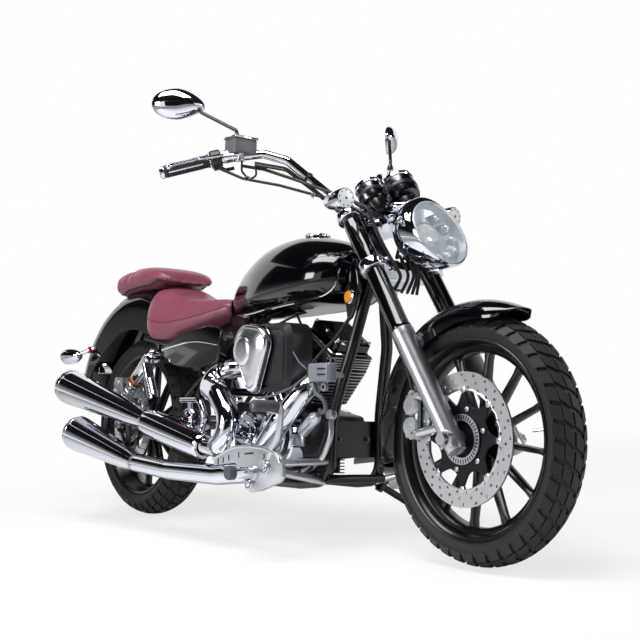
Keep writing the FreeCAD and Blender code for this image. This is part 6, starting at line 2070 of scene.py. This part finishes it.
def area_lamp(name, spot, aim, size, power):
    """Rectangular lamp aimed at a point."""
    data = bpy.data.lights.new(name, "AREA")
    data.shape = "RECTANGLE"
    data.size, data.size_y = size
    data.energy = power
    lamp = bpy.data.objects.new(name, data)
    lamp.location = spot
    lamp.rotation_euler = (Vector(aim) - Vector(spot)).to_track_quat("-Z", "Y").to_euler()
    bpy.context.scene.collection.objects.link(lamp)
    return lamp

# %% [markdown]
# ## White surroundings
# The world is plain white where the camera or a reflection sees it and dimmer as light, so the machine
# stands on white without being washed out. The floor keeps a soft shadow.

# %% White surroundings
def white_world(fill):
    """World that is white to the camera and in mirrors and lenses, and a dimmer fill light elsewhere."""
    world = bpy.data.worlds.new("white studio")
    world.use_nodes = True
    tree = world.node_tree
    paths = add_node(tree, "ShaderNodeLightPath")
    first = add_node(tree, "ShaderNodeMath", {"operation": "MAXIMUM"},
                     {0: paths.outputs["Is Camera Ray"], 1: paths.outputs["Is Glossy Ray"]})
    seen = add_node(tree, "ShaderNodeMath", {"operation": "MAXIMUM"},
                    {0: first.outputs[0], 1: paths.outputs["Is Transmission Ray"]})
    brightness = add_node(tree, "ShaderNodeMapRange", None,
                          {"Value": seen.outputs[0], "To Min": fill, "To Max": 1.0})
    backdrop = tree.nodes["Background"]
    backdrop.inputs["Color"].default_value = (1, 1, 1, 1)
    tree.links.new(brightness.outputs["Result"], backdrop.inputs["Strength"])
    return world


def floor_shade(glow, near, far):
    """White floor that keeps the machine's shadow near it and fades to plain white further out."""
    made = material("white floor", "#ffffff", roughness=0.9)
    tree = made.node_tree
    paths = add_node(tree, "ShaderNodeLightPath")
    place = add_node(tree, "ShaderNodeTexCoord")
    reach = add_node(tree, "ShaderNodeVectorMath", {"operation": "LENGTH"}, {0: place.outputs["Object"]})
    fade = add_node(tree, "ShaderNodeMapRange", {"interpolation_type": "SMOOTHSTEP"}, {
        "Value": reach.outputs["Value"], "From Min": near, "From Max": far, "To Min": glow, "To Max": 1.0})
    share = add_node(tree, "ShaderNodeMath", {"operation": "MULTIPLY"},
                     {0: paths.outputs["Is Camera Ray"], 1: fade.outputs["Result"]})
    white = add_node(tree, "ShaderNodeEmission", None, {"Color": (1, 1, 1, 1), "Strength": 1.0})
    mix = add_node(tree, "ShaderNodeMixShader", None, {
        0: share.outputs[0], 1: tree.nodes["Principled BSDF"].outputs["BSDF"], 2: white.outputs["Emission"]})
    tree.links.new(mix.outputs["Shader"], tree.nodes["Material Output"].inputs["Surface"])
    return made


FLOOR = floor_shade(0.72, 0.9, 2.6)
bpy.context.scene.world = white_world(0.5)
plane("studio floor", (0, 0, -0.001), (30, 30), (0, 0, 1), FLOOR)

# %% [markdown]
# ## Cards and lamps
# Chrome shows only its surroundings. Cards outside the picture give it pale ground and a dark sky, and
# three soft lamps draw long highlights.

# %% Cards and lamps
def graded_card(name, bottom, top):
    """Card paint that falls from a pale shade at one height to black at another."""
    made = material(name, "#050506", roughness=0.9)
    tree = made.node_tree
    place = add_node(tree, "ShaderNodeTexCoord")
    axes = add_node(tree, "ShaderNodeSeparateXYZ", None, {0: place.outputs["Object"]})
    height = add_node(tree, "ShaderNodeMapRange", {"interpolation_type": "SMOOTHSTEP"},
                      {"Value": axes.outputs["Z"], "From Min": bottom, "From Max": top})
    colours = add_node(tree, "ShaderNodeMix", {"data_type": "RGBA"},
                       {"Factor": height.outputs["Result"], "A": (0.95, 0.95, 0.95, 1),
                        "B": (0.004, 0.004, 0.005, 1)})
    tree.links.new(colours.outputs[2], tree.nodes["Principled BSDF"].inputs["Base Color"])
    return made


# name, place, height it faces, size, and the heights between which it falls from pale to black
CARDS = (("card behind the camera", (5.6, -4.6, 2.6), 2.6, (9, 4.2), 0.4, 1.5),
         ("card on the right", (-4.2, -4.4, 2.7), 2.7, (7.5, 4.0), 0.7, 2.4),
         ("card on the left", (3.4, 4.6, 2.4), 2.4, (6.5, 4.4), 0.3, 1.6),
         ("card overhead", (0.2, -0.2, 4.6), 1, (12, 12), 0, 1))
for name, spot, aim, size, bottom, top in CARDS:
    card = plane(name, spot, size, Vector((0, 0, aim)) - Vector(spot), graded_card(name, bottom, top))
    card.visible_camera = False
area_lamp("overhead softbox", (0.3, -0.9, 3.4), (0, 0, 0.4), (2.6, 1.3), 110)
area_lamp("right softbox", (-0.6, -3.6, 1.9), (0.0, 0, 0.5), (1.5, 1.1), 60)
area_lamp("front softbox", (3.6, 2.2, 1.9), (0.5, 0, 0.6), (0.9, 1.3), 45)

# %% [markdown]
# ## Camera
# A low three-quarter view from the front right, with a lens long enough to keep the wheels round.

# %% Camera
# lens in millimetres on a 36 mm sensor; place and directions in the upright machine's frame
FOCAL_LENGTH = 64.25
EYE = Vector((2768.1, -1979.1, 340.6))
LOOK = Vector((-0.79462, 0.60085, 0.08695))
ABOVE = Vector((0.055853, -0.070259, 0.995969))
camera_data = bpy.data.cameras.new("camera")
camera_data.sensor_width = 36
camera_data.lens = FOCAL_LENGTH
camera = bpy.data.objects.new("camera", camera_data)
bpy.context.scene.collection.objects.link(camera)
look = (BIKE.to_3x3() @ LOOK).normalized()
right = look.cross((BIKE.to_3x3() @ ABOVE).normalized()).normalized()
turn = Matrix((right, right.cross(look), -look)).transposed().to_4x4()
camera.matrix_world = Matrix.Translation(BIKE @ EYE) @ turn
bpy.context.scene.camera = camera
bpy.context.scene.view_settings.view_transform = "Standard"
print(f"camera: {FOCAL_LENGTH} mm lens, {(BIKE @ EYE).length:.2f} m from the middle")

low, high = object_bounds()
